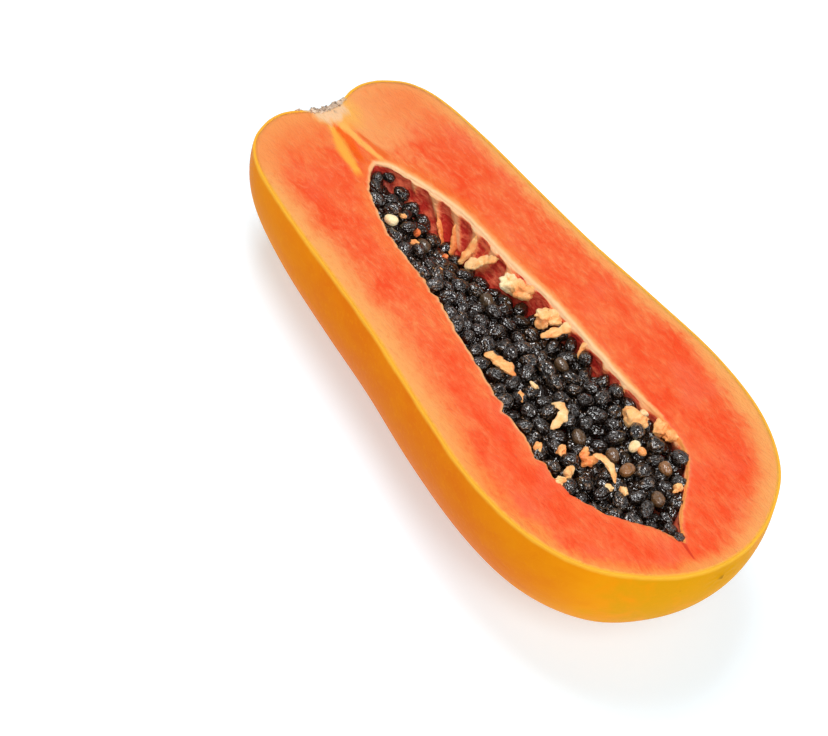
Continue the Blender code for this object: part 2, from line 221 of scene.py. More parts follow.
def turned_bowl(name, outline, sides):
    """Spin an outline once about X, bend its axis down to the fruit's, and cut it open at the cut face."""
    bowl = start_from(name, bpy.ops.mesh.primitive_circle_add, vertices=len(outline), fill_type="NOTHING")
    for corner, (x, radius) in zip(bowl.data.vertices, outline):
        corner.co = (x * MM, radius * MM, 0.0)
    with edit_mode("DESELECT"):
        bpy.ops.mesh.select_mode(type="EDGE")
    for edge in bowl.data.edges:
        edge.select = set(edge.vertices) == {0, len(outline) - 1}
    with edit_mode(None):
        bpy.ops.mesh.delete(type="EDGE")
        bpy.ops.mesh.select_all(action="SELECT")
        bpy.ops.mesh.spin(steps=sides, angle=math.tau, center=(0, 0, 0), axis=(1, 0, 0))
        bpy.ops.mesh.select_all(action="SELECT")
        bpy.ops.mesh.remove_doubles(threshold=0.01 * MM)
    for vertex in bowl.data.vertices:
        vertex.co.z -= axis_drop(vertex.co.x / MM) * MM
    with edit_mode():
        bpy.ops.mesh.bisect(plane_co=(0, 0, 0), plane_no=(0, 0, 1), clear_outer=True)
        bpy.ops.mesh.select_all(action="SELECT")
        bpy.ops.mesh.normals_make_consistent(inside=False)
    return bowl


skin_outline = rounded_outline(FRUIT_PROFILE, OUTLINE_STEPS)
skin = turned_bowl("papaya_skin", skin_outline, SKIN_TURNS)
print("skin bowl", len(skin.data.vertices), "vertices")

# %% [markdown]
# The whole fruit is drawn level and then settled onto its skin, stem end a little lower. The tilt is the
# solids' own, and the shift is found by matching the tilted bowl to the box of the solid half fruit.

# %% How the fruit settles
fruit_low, fruit_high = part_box("papaya_half")
tilt = Matrix.Rotation(math.radians(-REST_TILT), 4, "Y")
tilted = [tilt @ vertex.co for vertex in skin.data.vertices]
settle_shift = Vector((
    (fruit_low.x + fruit_high.x) / 2 - (min(p.x for p in tilted) + max(p.x for p in tilted)) / 2,
    (fruit_low.y + fruit_high.y) / 2,
    fruit_high.z - max(p.z for p in tilted),
))
SETTLE = Matrix.Translation(settle_shift) @ tilt


def settle(thing, lowest=None):
    """Carry a piece drawn in the fruit's own frame to its resting place, no lower than the lowest height."""
    thing.data.transform(SETTLE)
    thing.data.update()
    if lowest is not None:
        for vertex in thing.data.vertices:
            vertex.co.z = max(vertex.co.z, lowest * MM)


print("settle shift mm", in_mm(settle_shift))

# %% The skin's thickness and edge
apply_modifier(skin, "SOLIDIFY", thickness=SKIN_THICKNESS * MM, offset=-1.0, use_even_offset=True)
apply_modifier(skin, "BEVEL", width=0.3 * MM, segments=2, limit_method="ANGLE", angle_limit=math.radians(50))
close_and_turn_out(0.002)
print("skin", len(skin.data.polygons), "faces")

# %% [markdown]
# At the other end the flower once sat. It leaves a small dimple with a dry point in it and a few creases
# round it, like the drawn-in mouth of a sack. The skin is thin, so the dimple is shallow, and the colour of
# the finish does the rest.

# %% The mark of the flower
BLOSSOM_MIDDLE = Vector((105.6, 0.0, -6.0))
BLOSSOM_START = 90.0
# Each form of the mark: height in millimetres, then the width of its bell curve
DIMPLE, CREASES, DRY_POINT = (0.5, 3.0), (0.16, 2.2), (0.75, 0.9)
CREASE_COUNT = 7
CREASE_REACH = 3.4


def flower_mark(spot):
    """How far the skin is drawn in, in millimetres, at a spot near the blossom end."""
    aside, up = spot.y - BLOSSOM_MIDDLE.y, spot.z - BLOSSOM_MIDDLE.z
    reach, turn = math.hypot(aside, up), math.atan2(up, aside)
    folds = 0.5 + 0.5 * math.cos(CREASE_COUNT * turn + 0.8 * math.sin(2 * turn))
    creases = CREASES[0] * folds * bell(reach - CREASE_REACH, CREASES[1])
    return DIMPLE[0] * bell(reach, DIMPLE[1]) + creases - DRY_POINT[0] * bell(reach, DRY_POINT[1])


for vertex in skin.data.vertices:
    if vertex.co.x > BLOSSOM_START * MM:
        vertex.co.x -= flower_mark(vertex.co / MM) * MM
settle(skin, 0.0)
beside = flower_mark(BLOSSOM_MIDDLE + Vector((0, 2, 0)))
print("skin drawn in by", round(beside, 2), "mm beside the dry point")

# %% [markdown]
# ## The flesh
#
# The flesh fills the skin and carries everything that the cut shows: the flat face, the pale membrane that
# lines the cavity, and the cavity's red wall. It could be carved from a block with Booleans, but then its
# faces would follow no pattern. A grid does better. It is wrapped round the cavity like a sleeve, one
# column for each step round the fruit. Its rows run from the keel of the cavity up the wall, over the lip,
# across the cut face and down inside the skin. Each corner then knows how far it lies from the lip and from
# the skin, and the finish can read that.

# %% Rows and columns of the flesh
COLUMNS_A_SIDE = 320
WALL_ROWS = 30
FACE_ROWS = 30
BOWL_ROWS = 12
FLESH_TUCK = 0.7
# The lip's section: distance out from the rim, height. The membrane stands a little proud.
LIP = ((0.0, -0.9), (0.06, -0.45), (0.3, -0.12), (0.8, 0.04), (1.4, 0.1), (2.1, 0.05), (2.8, 0.0))
# Nicks that the knife tore in the near rim: place along, depth, reach
NICKS = (
    (-19.5, 1.1, 1.2), (-3.0, 0.6, 0.9), (28.6, 1.3, 1.3), (39.0, -0.7, 1.1), (47.6, 1.4, 1.5), (63.0, 0.7, 1.0),
)


def even_steps(points, count):
    """The same line, cut into equal steps."""
    lengths = [0.0]
    for a, b in zip(points, points[1:]):
        lengths.append(lengths[-1] + (b - a).length)
    steps, index = [], 0
    for step in range(count + 1):
        goal = lengths[-1] * step / count
        while index < len(points) - 2 and lengths[index + 1] < goal:
            index += 1
        share = (goal - lengths[index]) / (lengths[index + 1] - lengths[index])
        steps.append(points[index].lerp(points[index + 1], between(0.0, share, 1.0)))
    return steps


def inner_outline(outline, offset):
    """The outline moved inwards, along its own normal."""
    moved = []
    for index, point in enumerate(outline):
        along = outline[min(index + 1, len(outline) - 1)] - outline[max(index - 1, 0)]
        inward = Vector((along.y, -along.x)).normalized()
        moved.append(Vector((point.x + inward.x * offset, max(point.y + inward.y * offset, 0.0))))
    moved[0].y = moved[-1].y = 0.0
    return moved


def cut_points(outline):
    """Where the outline's circles meet the knife's plane: place along, half width there, and the circle's radius."""
    points = []
    for start, end in zip(outline, outline[1:]):
        above, following = start.y - axis_drop(start.x), end.y - axis_drop(end.x)
        if above >= 0:
            points.append(Vector((start.x, math.sqrt(start.y ** 2 - axis_drop(start.x) ** 2), start.y)))
        if (above < 0) != (following < 0):
            crossing = start.lerp(end, above / (above - following))
            points.append(Vector((crossing.x, 0.0, crossing.y)))
    return points


flesh_outline = inner_outline(skin_outline, FLESH_TUCK)
cut_line = even_steps(cut_points(flesh_outline), COLUMNS_A_SIDE)
print("cut face from", round(cut_line[0].x, 1), "to", round(cut_line[-1].x, 1), "mm")


# %% Where each column meets the cavity
RIM_STEPS = 600
CLOSENESS = 0.62
SMOOTHING_ROUNDS = 12


def rim_point(place, far_side):
    """A point on the cavity's rim, made a little ragged, more so on the near side."""
    near, far = smooth_between(CAVITY_RIM, place)
    half = (far - near) / 2
    raggedness = (0.4 if far_side else 0.9) * min(half / 6.0, 1.0)
    wave = noise.noise(Vector((place * 0.21, 4.0 if far_side else 9.0, 0.0)))
    wave += 0.6 * noise.noise(Vector((place * 0.55, 14.0 if far_side else 19.0, 0.0)))
    shift = wave * raggedness
    if far_side:
        return Vector((place, far + shift, 0.0))
    shift += 0.45 * noise.noise(Vector((place * 1.1, 29.0, 0.0))) * raggedness
    shift -= sum(depth * bell(place - middle, reach) for middle, depth, reach in NICKS)
    return Vector((place, near + shift, 0.0))


def rim_line(far_side, count=260):
    """The rim along one side, from the stem tip to the blossom tip."""
    start, end = CAVITY_RIM[0][0], CAVITY_RIM[-1][0]
    places = [start + (end - start) * (1 - math.cos(math.pi * i / count)) / 2 for i in range(count + 1)]
    return [rim_point(place, far_side) for place in places]


def matched_rim(far_side):
    """For each column, the rim point that it starts from: near the closest one, but never bunched."""
    side = 1 if far_side else -1
    rim = even_steps(rim_line(far_side), RIM_STEPS)
    tree = kdtree.KDTree(len(rim))
    for index, point in enumerate(rim):
        tree.insert(point, index)
    tree.balance()
    shares = []
    for column, outer in enumerate(cut_line):
        _, index, _ = tree.find(Vector((outer.x, side * outer.y, 0.0)))
        shares.append(CLOSENESS * index / RIM_STEPS + (1 - CLOSENESS) * column / COLUMNS_A_SIDE)
    for _ in range(SMOOTHING_ROUNDS):
        inside = [(a + b + c) / 3 for a, b, c in zip(shares, shares[1:], shares[2:])]
        shares = [0.0, *inside, 1.0]
    matched = []
    for share in shares:
        spot = share * RIM_STEPS
        index = min(int(spot), RIM_STEPS - 1)
        matched.append(rim[index].lerp(rim[index + 1], spot - index))
    return matched


near_rim, far_rim = matched_rim(False), matched_rim(True)
print("columns", 2 * COLUMNS_A_SIDE + 2)


# %% Torn tissue on the far wall
# Where it runs down the wall: place along at the lip and 4, 8 and 12 mm below it, then half width and reach
WEB_STEP = 4.0
WALL_WEBS = (
    ((-60.0, -59.0, -57.0, -55.0), 1.2, 4.0), ((-52.8, -51.0, -47.8, -44.4), 1.5, 9.0),
    ((-44.4, -42.8, -40.0, -37.0), 2.0, 11.5), ((-34.6, -33.6, -32.6, -31.4), 1.9, 11.5),
    ((-25.2, -25.4, -26.6, -28.2), 2.4, 12.0), ((-17.8, -16.8, -14.8, -13.4), 1.9, 9.0),
    ((-8.0, -8.6, -9.4, -10.0), 1.8, 5.0), ((4.4, 4.0, 3.4, 3.0), 2.5, 6.0), ((11.4, 10.8, 9.8, 9.0), 1.6, 5.0),
    ((19.0, 19.2, 20.0, 21.0), 1.3, 3.5), ((28.6, 29.0, 30.0, 31.0), 1.4, 3.0), ((37.6, 38.0, 38.6, 39.0), 1.2, 2.4),
    ((46.4, 46.8, 47.4, 48.0), 2.0, 3.2), ((54.4, 54.6, 55.0, 55.4), 1.3, 2.4), ((61.8, 62.0, 62.6, 63.0), 2.2, 3.4),
    ((73.0, 73.2, 73.6, 74.0), 1.3, 2.4),
)
WEB_THICKNESS = 1.1


def wall_web(place, below):
    """How much torn tissue covers a spot of the far wall, from 0 to 1."""
    ragged = noise.noise(Vector((place * 0.5, below * 0.45, 5.0)))
    cover = 0.9 * math.exp(-below / (0.9 + 0.7 * ragged))
    for places, half_width, reach in WALL_WEBS:
        index = min(int(below / WEB_STEP), 2)
        middle = places[index] + (places[index + 1] - places[index]) * (below / WEB_STEP - index)
        width = half_width * (1 + 1.4 * math.exp(-below / 1.6)) * (1 + 0.5 * ragged)
        ending = 1 / (1 + math.exp((below - reach) / 0.9))
        cover = max(cover, bell(place - middle, width) * ending)
    return cover


print("web cover at three spots", [round(wall_web(place, 3.0), 2) for place in (-34.0, -29.5, -25.0)])


# %% The column of points from the keel to the underside
def face_height(x, y, from_lip, from_skin):
    """How far the cut face waves up and down: the knife leaves shallow ripples, and fibres stand up a little."""
    fade = min(from_lip / 4.0, 1.0) * min(from_skin / 3.0, 1.0)
    broad = 0.3 * noise.noise(Vector((x * 0.045, y * 0.07, 3.0)))
    fine = 0.1 * noise.noise(Vector((x * 0.19, y * 0.33, 8.0)))
    groove = 0.6 * bell(y + 3.0, 2.4) * between(0.0, (-72.0 - x) / 5.0, 1.0)
    return (broad + fine - groove) * fade


def flesh_column(rim, outer, side, keel):
    """Points down one column of the sleeve, each with its distances from lip and skin and its torn tissue."""
    middle, half, _ = cavity_section(rim.x)
    ragged = rim.y - middle - side * half
    column = []
    for row in range(WALL_ROWS):
        angle = math.pi / 2 * (1 - row / WALL_ROWS)
        x = rim.x + (keel - rim.x) * math.sin(angle)
        middle, reach, depth = cavity_section(x)
        web = wall_web(x, depth * angle) if side > 0 and half > 1.0 else 0.0
        inwards = WEB_THICKNESS * web * min(half / 5.0, 1.0)
        aside, down = (reach - inwards) * side + ragged, depth - inwards
        spot = Vector((x, middle + aside * math.cos(angle), min(-down * math.sin(angle), -0.001)))
        column.append((spot, -depth * angle, 99.0, web))
    skin_end = Vector((outer.x, side * outer.y, 0.0))
    width = (skin_end - rim).length
    outward = (skin_end - rim).normalized()
    tip_fade = min(half / 2.0, 1.0)
    for distance, height in LIP:
        spot = rim + outward * distance + Vector((0, 0, height * tip_fade))
        column.append((spot, distance, width - distance, 1.0))
    first = LIP[-1][0]
    for row in range(1, FACE_ROWS + 1):
        share = row / FACE_ROWS
        share = share + 0.12 * math.sin(math.tau * share) / math.tau
        spot = rim + outward * (first + (width - first) * share)
        from_lip, from_skin = (spot - rim).length, (skin_end - spot).length
        spot.z = face_height(spot.x, spot.y, from_lip, from_skin)
        column.append((spot, from_lip, from_skin, 0.0))
    column[-1][0].z = -0.04
    start_angle = math.asin(min(axis_drop(outer.x) / outer.z, 1.0))
    for row in range(1, BOWL_ROWS + 1):
        angle = start_angle - (start_angle + math.pi / 2) * row / BOWL_ROWS
        spot = (outer.x, side * outer.z * math.cos(angle), -axis_drop(outer.x) + outer.z * math.sin(angle))
        column.append((Vector(spot), width, 0.0, 0.0))
    return column


# The two sides meet at the keel, so each pair of columns has the same place there.
keels = [(near.x + far.x) / 2 for near, far in zip(near_rim, far_rim)]
near_columns = [flesh_column(rim, outer, -1, keel) for rim, outer, keel in zip(near_rim, cut_line, keels)]
far_columns = [flesh_column(rim, outer, 1, keel) for rim, outer, keel in zip(far_rim, cut_line, keels)]
columns = near_columns + far_columns[::-1]
rows = len(columns[0])
across = len(columns)
flesh = start_from(
    "papaya_flesh", bpy.ops.mesh.primitive_grid_add, x_subdivisions=across - 1, y_subdivisions=rows - 1
)
END_COLUMNS = 22
carried = {"from_lip": [], "from_skin": [], "web_cover": [], "far_share": []}
for index, vertex in enumerate(flesh.data.vertices):
    side, from_tip = divmod(index % across, across // 2)
    spot, *numbers = columns[index % across][index // across]
    vertex.co = spot * MM
    aside = 0.5 * min(min(from_tip, across // 2 - 1 - from_tip) / END_COLUMNS, 1.0)
    for values, number in zip(carried.values(), (*numbers, 0.5 + aside if side else 0.5 - aside)):
        values.append(number)
for name, values in carried.items():
    flesh.data.attributes.new(name, "FLOAT", "POINT").data.foreach_set("value", values)
close_and_turn_out()
flesh.data.shade_smooth()
settle(flesh, 1.0)
print("flesh", len(flesh.data.polygons), "faces, rows", rows)

# %% [markdown]
# ## The seeds
#
# A ripe papaya holds hundreds of seeds the size of peppercorns, each in a thin wrinkled jelly coat. One
# seed is shaped and then copied. A cube cut three by three and rounded makes a seed with no pinched poles
# and few faces.

# %% One seed
SEED_SIZE = (6.6, 4.9, 4.7)
SEED_TAPER = 0.3
SEED_LUMPS = 4.6


def rounded_cube(name, cuts):
    """A cube cut into a grid and blown up into a ball."""
    cube = start_from(name, bpy.ops.mesh.primitive_cube_add, size=1.0)
    with edit_mode():
        bpy.ops.mesh.subdivide(number_cuts=cuts)
        bpy.ops.transform.tosphere(value=1.0)
    cube.data.shade_smooth()
    return cube


def seed_pattern(number, wrinkle):
    """A small ovoid, narrower at one end and lumpy, that remembers where each corner lay on the smooth seed."""
    seed = rounded_cube("seed pattern", 2)
    own_place = seed.data.attributes.new("own_place", "FLOAT_VECTOR", "POINT")
    for index, vertex in enumerate(seed.data.vertices):
        ball = vertex.co.normalized() * 0.5
        lump = 1 + wrinkle * noise.noise(ball * SEED_LUMPS + Vector((number * 3.1, 0.0, 0.0)))
        taper = 1 - SEED_TAPER * ball.x
        smooth = Vector((ball.x * SEED_SIZE[0], ball.y * SEED_SIZE[1] * taper, ball.z * SEED_SIZE[2] * taper))
        own_place.data[index].vector = smooth
        vertex.co = smooth * lump * MM
    return seed


wrinkled_seeds = [seed_pattern(number, 0.1) for number in range(7)]
smooth_seed = seed_pattern(9, 0.06)
print("one seed", len(smooth_seed.data.polygons), "faces")

# %% [markdown]
# The seeds cling to the wall and heap up against the near rim, and on the far side the bare wall shows
# above them. They could be dropped in by a physics run, but a few rounds of pushing apart give the same
# close, uneven packing at once and never leave a seed outside.

# %% Where the seeds lie
SEED_BED_NEAR = -2.5
SEED_BED_FAR = (
    (-72.0, -3.0), (-62.0, -6.0), (-50.0, -11.5), (-38.0, -13.2), (-22.0, -12.8), (-10.0, -9.8), (4.0, -7.6),
    (22.0, -5.4), (50.0, -3.2), (70.0, -2.0), (93.0, -1.4),
)
SEED_TOP_LIMIT = 1.2
PACKING_ROUNDS = 40


def bed_level(place, y):
    """Height of the seeds' middles: high along the near rim, low along the far wall, and higher in the tips."""
    middle, half, depth = cavity_section(place)
    far_level = smooth_between(SEED_BED_FAR, place)
    share = between(0.0, (y - middle + half) / max(2 * half, 1.0), 1.0)
    share = share * share * (3 - 2 * share)
    return max(SEED_BED_NEAR + (far_level - SEED_BED_NEAR) * share, -0.78 * depth)


def keep_in_cavity(spot, margin):
    """Move a seed's middle inside the cavity, a margin away from the wall."""
    spot.x = between(CAVITY_RIM[0][0] + 3.0, spot.x, CAVITY_RIM[-1][0] - 3.2)
    middle, half, depth = cavity_section(spot.x)
    room = max(half * math.sqrt(max(1 - (spot.z / depth) ** 2, 0.0)) - margin, 0.0)
    spot.y = between(middle - room, spot.y, middle + room)


def packed_layer(spacing, drop, margin, uneven, fixed=()):
    """Spots for one layer of seeds, scattered and then pushed apart; the fixed ones stay where they are."""
    spots = [Vector(spot) for spot in fixed]
    x = CAVITY_RIM[0][0] + 3.0
    while x < CAVITY_RIM[-1][0] - 3.0:
        middle, half, _ = cavity_section(x)
        count = max(round(2 * half / spacing), 1)
        for place in range(count):
            y = middle - half + 2 * half * (place + 0.5) / count
            astray = [chance.uniform(-0.4, 0.4) * spacing for _ in range(2)]
            spot = Vector((x + astray[0], y + astray[1], 0.0))
            spot.z = bed_level(spot.x, spot.y) - drop + chance.uniform(-uneven, uneven)
            if all((spot - other).length > 0.6 * spacing for other in fixed):
                spots.append(spot)
        x += spacing * 0.87
    lifts = [chance.uniform(-uneven, uneven) for _ in spots]
    for _ in range(PACKING_ROUNDS):
        tree = kdtree.KDTree(len(spots))
        for index, spot in enumerate(spots):
            tree.insert(spot, index)
        tree.balance()
        for index, spot in enumerate(spots[len(fixed):], len(fixed)):
            for neighbour, other, distance in tree.find_range(spot, spacing):
                if other != index and distance > 1e-6:
                    push = (spot - neighbour) * (0.25 * (spacing - distance) / distance)
                    spot.x += push.x
                    spot.y += push.y
                    spot.z += 0.5 * push.z
            spot.z += 0.3 * (bed_level(spot.x, spot.y) - drop + lifts[index] - spot.z)
            keep_in_cavity(spot, margin)
    return spots[len(fixed):]


# Pale unripe seeds and smooth brown ones are listed one by one: place along, place across, lift, length, shade
PALE_SEEDS = (
    (-51.3, -8.9, 1.0, 5.0, 1.0), (57.1, 4.0, 1.0, 4.6, 1.0),
    (59.9, 4.9, 1.0, 3.4, 0.45), (47.8, 16.0, 0.6, 3.6, 0.9),
)
BROWN_SEEDS = (
    (-13.1, 2.1, 0.6, 6.0, 2.0), (56.7, -3.9, 0.7, 5.4, 2.2), (63.2, -3.7, 0.8, 6.0, 2.5),
    (68.4, 7.2, 0.7, 5.2, 2.6), (20.0, 5.6, 0.4, 5.6, 2.1), (-40.5, -3.2, 0.4, 5.6, 2.0),
    (46.0, -8.6, 0.5, 5.8, 2.1), (76.0, -2.0, 0.5, 5.6, 2.2),
)
# The last seeds in the two tips, which would otherwise be pushed out of them: place along, across, height, length
TIP_SEEDS = (
    (-68.4, -2.0, -2.4, 5.4), (-67.0, 1.4, -2.6, 4.6), (-65.2, -5.2, -2.4, 5.6), (83.2, -4.6, -1.8, 5.4),
    (87.0, -6.2, -0.6, 5.2), (90.4, -6.2, -0.1, 4.4),
)
# Lumps of pulp among the seeds: place along, place across, lift, length, shade
PULP_LUMPS = (
    (-13.6, 11.4, 5.6, 6.0, 0.9), (-10.8, 12.2, 6.2, 6.0, 0.7), (-8.0, 12.4, 5.8, 5.6, 0.5),
    (-14.8, 12.6, 7.2, 4.0, 0.75), (1.6, 12.0, 4.4, 4.6, 0.62), (5.6, 13.4, 4.6, 3.6, 0.5),
    (47.7, 10.6, 1.6, 5.4, 0.5), (50.2, 12.4, 1.4, 3.8, 0.55), (55.4, 15.4, 1.4, 4.6, 0.55),
    (60.0, 16.0, 1.6, 4.4, 0.5), (55.1, -12.2, 1.2, 4.4, 0.3), (52.4, -11.2, 1.0, 3.2, 0.4),
    (-28.1, -7.0, 1.6, 2.4, 0.5), (-40.2, -7.4, 1.8, 2.4, 0.4), (-52.1, -3.1, 1.6, 1.8, 0.5),
    (24.4, -9.3, 1.8, 2.4, 0.7), (26.0, -15.8, 1.8, 2.6, 0.6), (39.6, -9.0, 1.8, 3.0, 0.3),
    (48.4, -17.4, 1.8, 3.6, 0.5), (56.2, -20.8, 1.8, 4.2, 0.5), (58.2, -24.4, 1.8, 3.6, 0.6),
    (44.4, -23.4, 1.8, 3.2, 0.6), (37.3, 16.0, 1.6, 3.0, 0.5), (69.6, -10.6, 1.8, 3.0, 0.5),
    (66.2, -13.2, 1.6, 2.2, 0.5), (76.3, 5.0, 1.6, 3.0, 0.6), (-46.0, -1.6, 1.0, 2.6, 0.0),
    (-34.4, 1.0, 0.9, 2.4, 0.0),
)


def on_bed(x, y, lift):
    """A spot above the seed bed."""
    return Vector((x, y, bed_level(x, y) + lift))


chance = random.Random(11)
# The listed pieces that are long enough to push seeds aside
hand_set = [
    on_bed(x, y, lift)
    for rows, shortest in ((PALE_SEEDS, 3.0), (BROWN_SEEDS, 3.0), (PULP_LUMPS, 4.0))
    for x, y, lift, length, _ in rows
    if length >= shortest
]
hand_set += [Vector(spot) for *spot, _ in TIP_SEEDS]
top_spots = packed_layer(6.0, 0.0, 1.7, 1.4, hand_set)
lower_spots = packed_layer(4.9, 3.1, 1.8, 0.6)
print("seeds on top", len(top_spots), "and below", len(lower_spots), "round", len(hand_set), "hand-set pieces")


# %% Copy the seeds into place
def copy_to(pattern, name, spot, turn, scale, shade=None):
    """A copy with its own mesh, scaled, turned and moved in it; a shade is one number on every corner."""
    copy = pattern.copy()
    copy.data = pattern.data.copy()
    copy.name = name
    bpy.context.collection.objects.link(copy)
    copy.data.transform(
        Matrix.Translation(Vector(spot) * MM) @ turn.to_matrix().to_4x4() @ Matrix.Diagonal((*scale, 1))
    )
    if shade is not None:
        give_shade(copy, shade)
    return copy


def give_shade(thing, value):
    """Store one number on every corner of a piece, from which its finish picks a shade."""
    shade = thing.data.attributes.new("shade", "FLOAT", "POINT")
    shade.data.foreach_set("value", [value] * len(thing.data.vertices))


def join(pieces, name):
    """Join several objects into the first of them and name the result."""
    bpy.ops.object.select_all(action="DESELECT")
    for piece in pieces:
        piece.select_set(True)
    bpy.context.view_layer.objects.active = pieces[0]
    bpy.ops.object.join()
    pieces[0].name = pieces[0].data.name = name
    return pieces[0]


def any_turn(tip):
    """A chance turn: any way round, tipped a little."""
    return Euler([chance.uniform(-limit, limit) for limit in (math.pi, tip, math.pi)])


def dark_seed(spot, length):
    """One wrinkled seed of about a given length, never above the limit."""
    base = length / SEED_SIZE[0]
    stretch = (base, base * chance.uniform(0.86, 1.12), base * chance.uniform(0.86, 1.1))
    seed = copy_to(chance.choice(wrinkled_seeds), "seed", spot, any_turn(0.5), stretch, chance.random())
    too_high = max(vertex.co.z for vertex in seed.data.vertices) - SEED_TOP_LIMIT * MM
    if too_high > 0:
        seed.data.transform(Matrix.Translation((0, 0, -too_high)))
    return seed


def smooth_seeds(rows):
    """Unwrinkled seeds, set one by one on the seed bed."""
    return [
        copy_to(smooth_seed, "seed", on_bed(x, y, lift), any_turn(0.3), [length / SEED_SIZE[0]] * 3, shade)
        for x, y, lift, length, shade in rows
    ]


dark_seeds = [dark_seed(spot, chance.uniform(6.0, 7.3)) for spot in top_spots + lower_spots]
dark_seeds += [dark_seed(spot, length) for *spot, length in TIP_SEEDS]
seeds = join(dark_seeds + smooth_seeds(BROWN_SEEDS), "papaya_seeds")
settle(seeds)
print("seeds", len(seeds.data.polygons), "faces")

# %% [markdown]
# ## The pulp
#
# Soft orange and cream pulp holds the seeds to the cavity's wall. When the fruit is cut, it tears into
# strands that hang from the far rim and lumps that stay among the seeds. A strand is a grid rolled into a
# flat band along a few points, wide where it leaves the wall and drawn out at its end. A lump is a rounded
# cube, pulled about by noise.

# %% Strands
# For each strand its shade, from orange to cream, then points along it with the radius there
STRANDS = (
    (0.12, (-50.6, 9.3, -4.2, 0.8), (-47.6, 8.6, -7.4, 1.0), (-44.6, 7.6, -9.8, 1.0), (-41.6, 5.8, -12.0, 0.9)),
    (0.25, (-42.9, 11.6, -3.4, 1.0), (-41.4, 10.8, -6.4, 1.4), (-39.4, 9.2, -9.2, 1.6), (-37.2, 6.6, -12.4, 1.2)),
    (0.5, (-33.6, 12.9, -1.0, 1.5), (-33.0, 11.8, -3.8, 1.1), (-32.6, 9.8, -6.8, 1.2), (-31.8, 5.6, -10.6, 1.3)),
    (0.58, (-23.6, 13.6, -0.8, 2.0), (-24.6, 11.9, -3.6, 1.5), (-26.6, 9.6, -6.2, 1.8), (-29.6, 5.6, -9.4, 1.7)),
    (0.66, (4.4, 15.2, -0.8, 1.9), (4.0, 13.4, -2.8, 2.3), (3.2, 11.0, -4.4, 1.9), (2.4, 9.0, -6.4, 1.2)),
    (0.58, (10.6, 15.3, -0.7, 1.6), (10.2, 13.0, -2.2, 1.3), (9.0, 10.4, -3.4, 1.4), (7.8, 6.6, -4.8, 1.2)),
    (0.4, (18.4, 15.2, -0.8, 1.0), (18.8, 13.9, -2.4, 0.8), (20.2, 12.0, -4.8, 0.7)),
    (0.4, (7.6, -16.2, -0.5, 1.2), (11.0, -14.8, 0.2, 1.8), (15.0, -13.6, 0.2, 1.9), (19.0, -12.2, -1.8, 1.2)),
    (0.66, (32.2, -8.8, -1.4, 0.7), (35.6, -7.9, 0.3, 1.4), (39.2, -10.2, 0.5, 1.6), (40.4, -15.4, -1.0, 0.9)),
    (0.6, (54.0, -9.8, -1.0, 1.2), (57.4, -8.8, 0.4, 1.3), (61.6, -8.8, 0.3, 1.1), (65.8, -10.4, -1.2, 0.6)),
)
STRAND_COLUMNS = 16
STRAND_ROWS = 30
STRAND_FLATNESS = 0.42


def pulp_strand(number, shade, points):
    """A grid rolled into a flattened, furrowed band along the points, its ends rounded off."""
    stations = [(index / (len(points) - 1), *point) for index, point in enumerate(points)]
    strand = start_from(
        "strand", bpy.ops.mesh.primitive_grid_add, x_subdivisions=STRAND_COLUMNS, y_subdivisions=STRAND_ROWS
    )
    for index, vertex in enumerate(strand.data.vertices):
        row, column = divmod(index, STRAND_COLUMNS + 1)
        turn, share = math.tau * column / STRAND_COLUMNS, row / STRAND_ROWS
        *middle, radius = smooth_between(stations, share)
        middle = Vector(middle)
        after, before = smooth_between(stations, share + 0.02), smooth_between(stations, share - 0.02)
        ahead = Vector(after[:3]) - Vector(before[:3])
        sideways = ahead.cross(Vector((0.3, 0.2, 1.0))).normalized()
        upwards = sideways.cross(ahead).normalized()
        closing = math.sqrt(max(1 - (2 * share - 1) ** 8, 0.0))
        spoke = sideways * math.cos(turn) + upwards * (STRAND_FLATNESS * math.sin(turn))
        knob = 1 + 0.55 * noise.noise(middle * 0.42 + spoke * 0.8 + Vector((0, 0, number * 7.3)))
        knob += 0.3 * noise.noise(middle * 1.2 + spoke * 1.6 + Vector((0, number * 3.7, 0)))
        knob += 0.14 * math.sin(5 * turn + 6 * noise.noise(middle * 0.2))
        vertex.co = (middle + spoke * (radius * closing * knob)) * MM
    close_and_turn_out()
    strand.data.shade_smooth()
    give_shade(strand, shade)
    return strand


strands = [pulp_strand(number, shade, points) for number, (shade, *points) in enumerate(STRANDS)]
print("strands", len(strands))


# %% Lumps and pale seeds
def lump_pattern(number):
    """A rounded cube of one millimetre, pulled about by noise."""
    lump = rounded_cube("lump pattern", 6)
    for vertex in lump.data.vertices:
        ball = vertex.co.normalized() * 0.5
        push = noise.noise(ball * 2.6 + Vector((number * 5.7, 0, 0)))
        push += 0.25 * noise.noise(ball * 6.0 + Vector((0, number * 4.1, 0)))
        vertex.co = ball * (1 + 0.7 * push) * MM
    return lump


lumps = [lump_pattern(number) for number in range(6)]
pulp_bits = []
for x, y, lift, length, shade in PULP_LUMPS:
    stretch = (length * 1.15, length * chance.uniform(0.75, 0.95), length * chance.uniform(0.6, 0.8))
    pulp_bits.append(copy_to(chance.choice(lumps), "lump", on_bed(x, y, lift), any_turn(0.4), stretch, shade))
pulp = join(strands + pulp_bits + smooth_seeds(PALE_SEEDS), "papaya_pulp")
settle(pulp)
for pattern in lumps + wrinkled_seeds + [smooth_seed]:
    bpy.data.objects.remove(pattern)
print("pulp", len(pulp.data.polygons), "faces")

# %% [markdown]
# ## The scar of the stalk
#
# Where the stalk broke off, the dimple is lined with dry grey-brown cork, and torn fibres stand up from it.
# The lining is turned like the skin. The fibres are slivers, one shaped from a cone and the others copied
# from it.

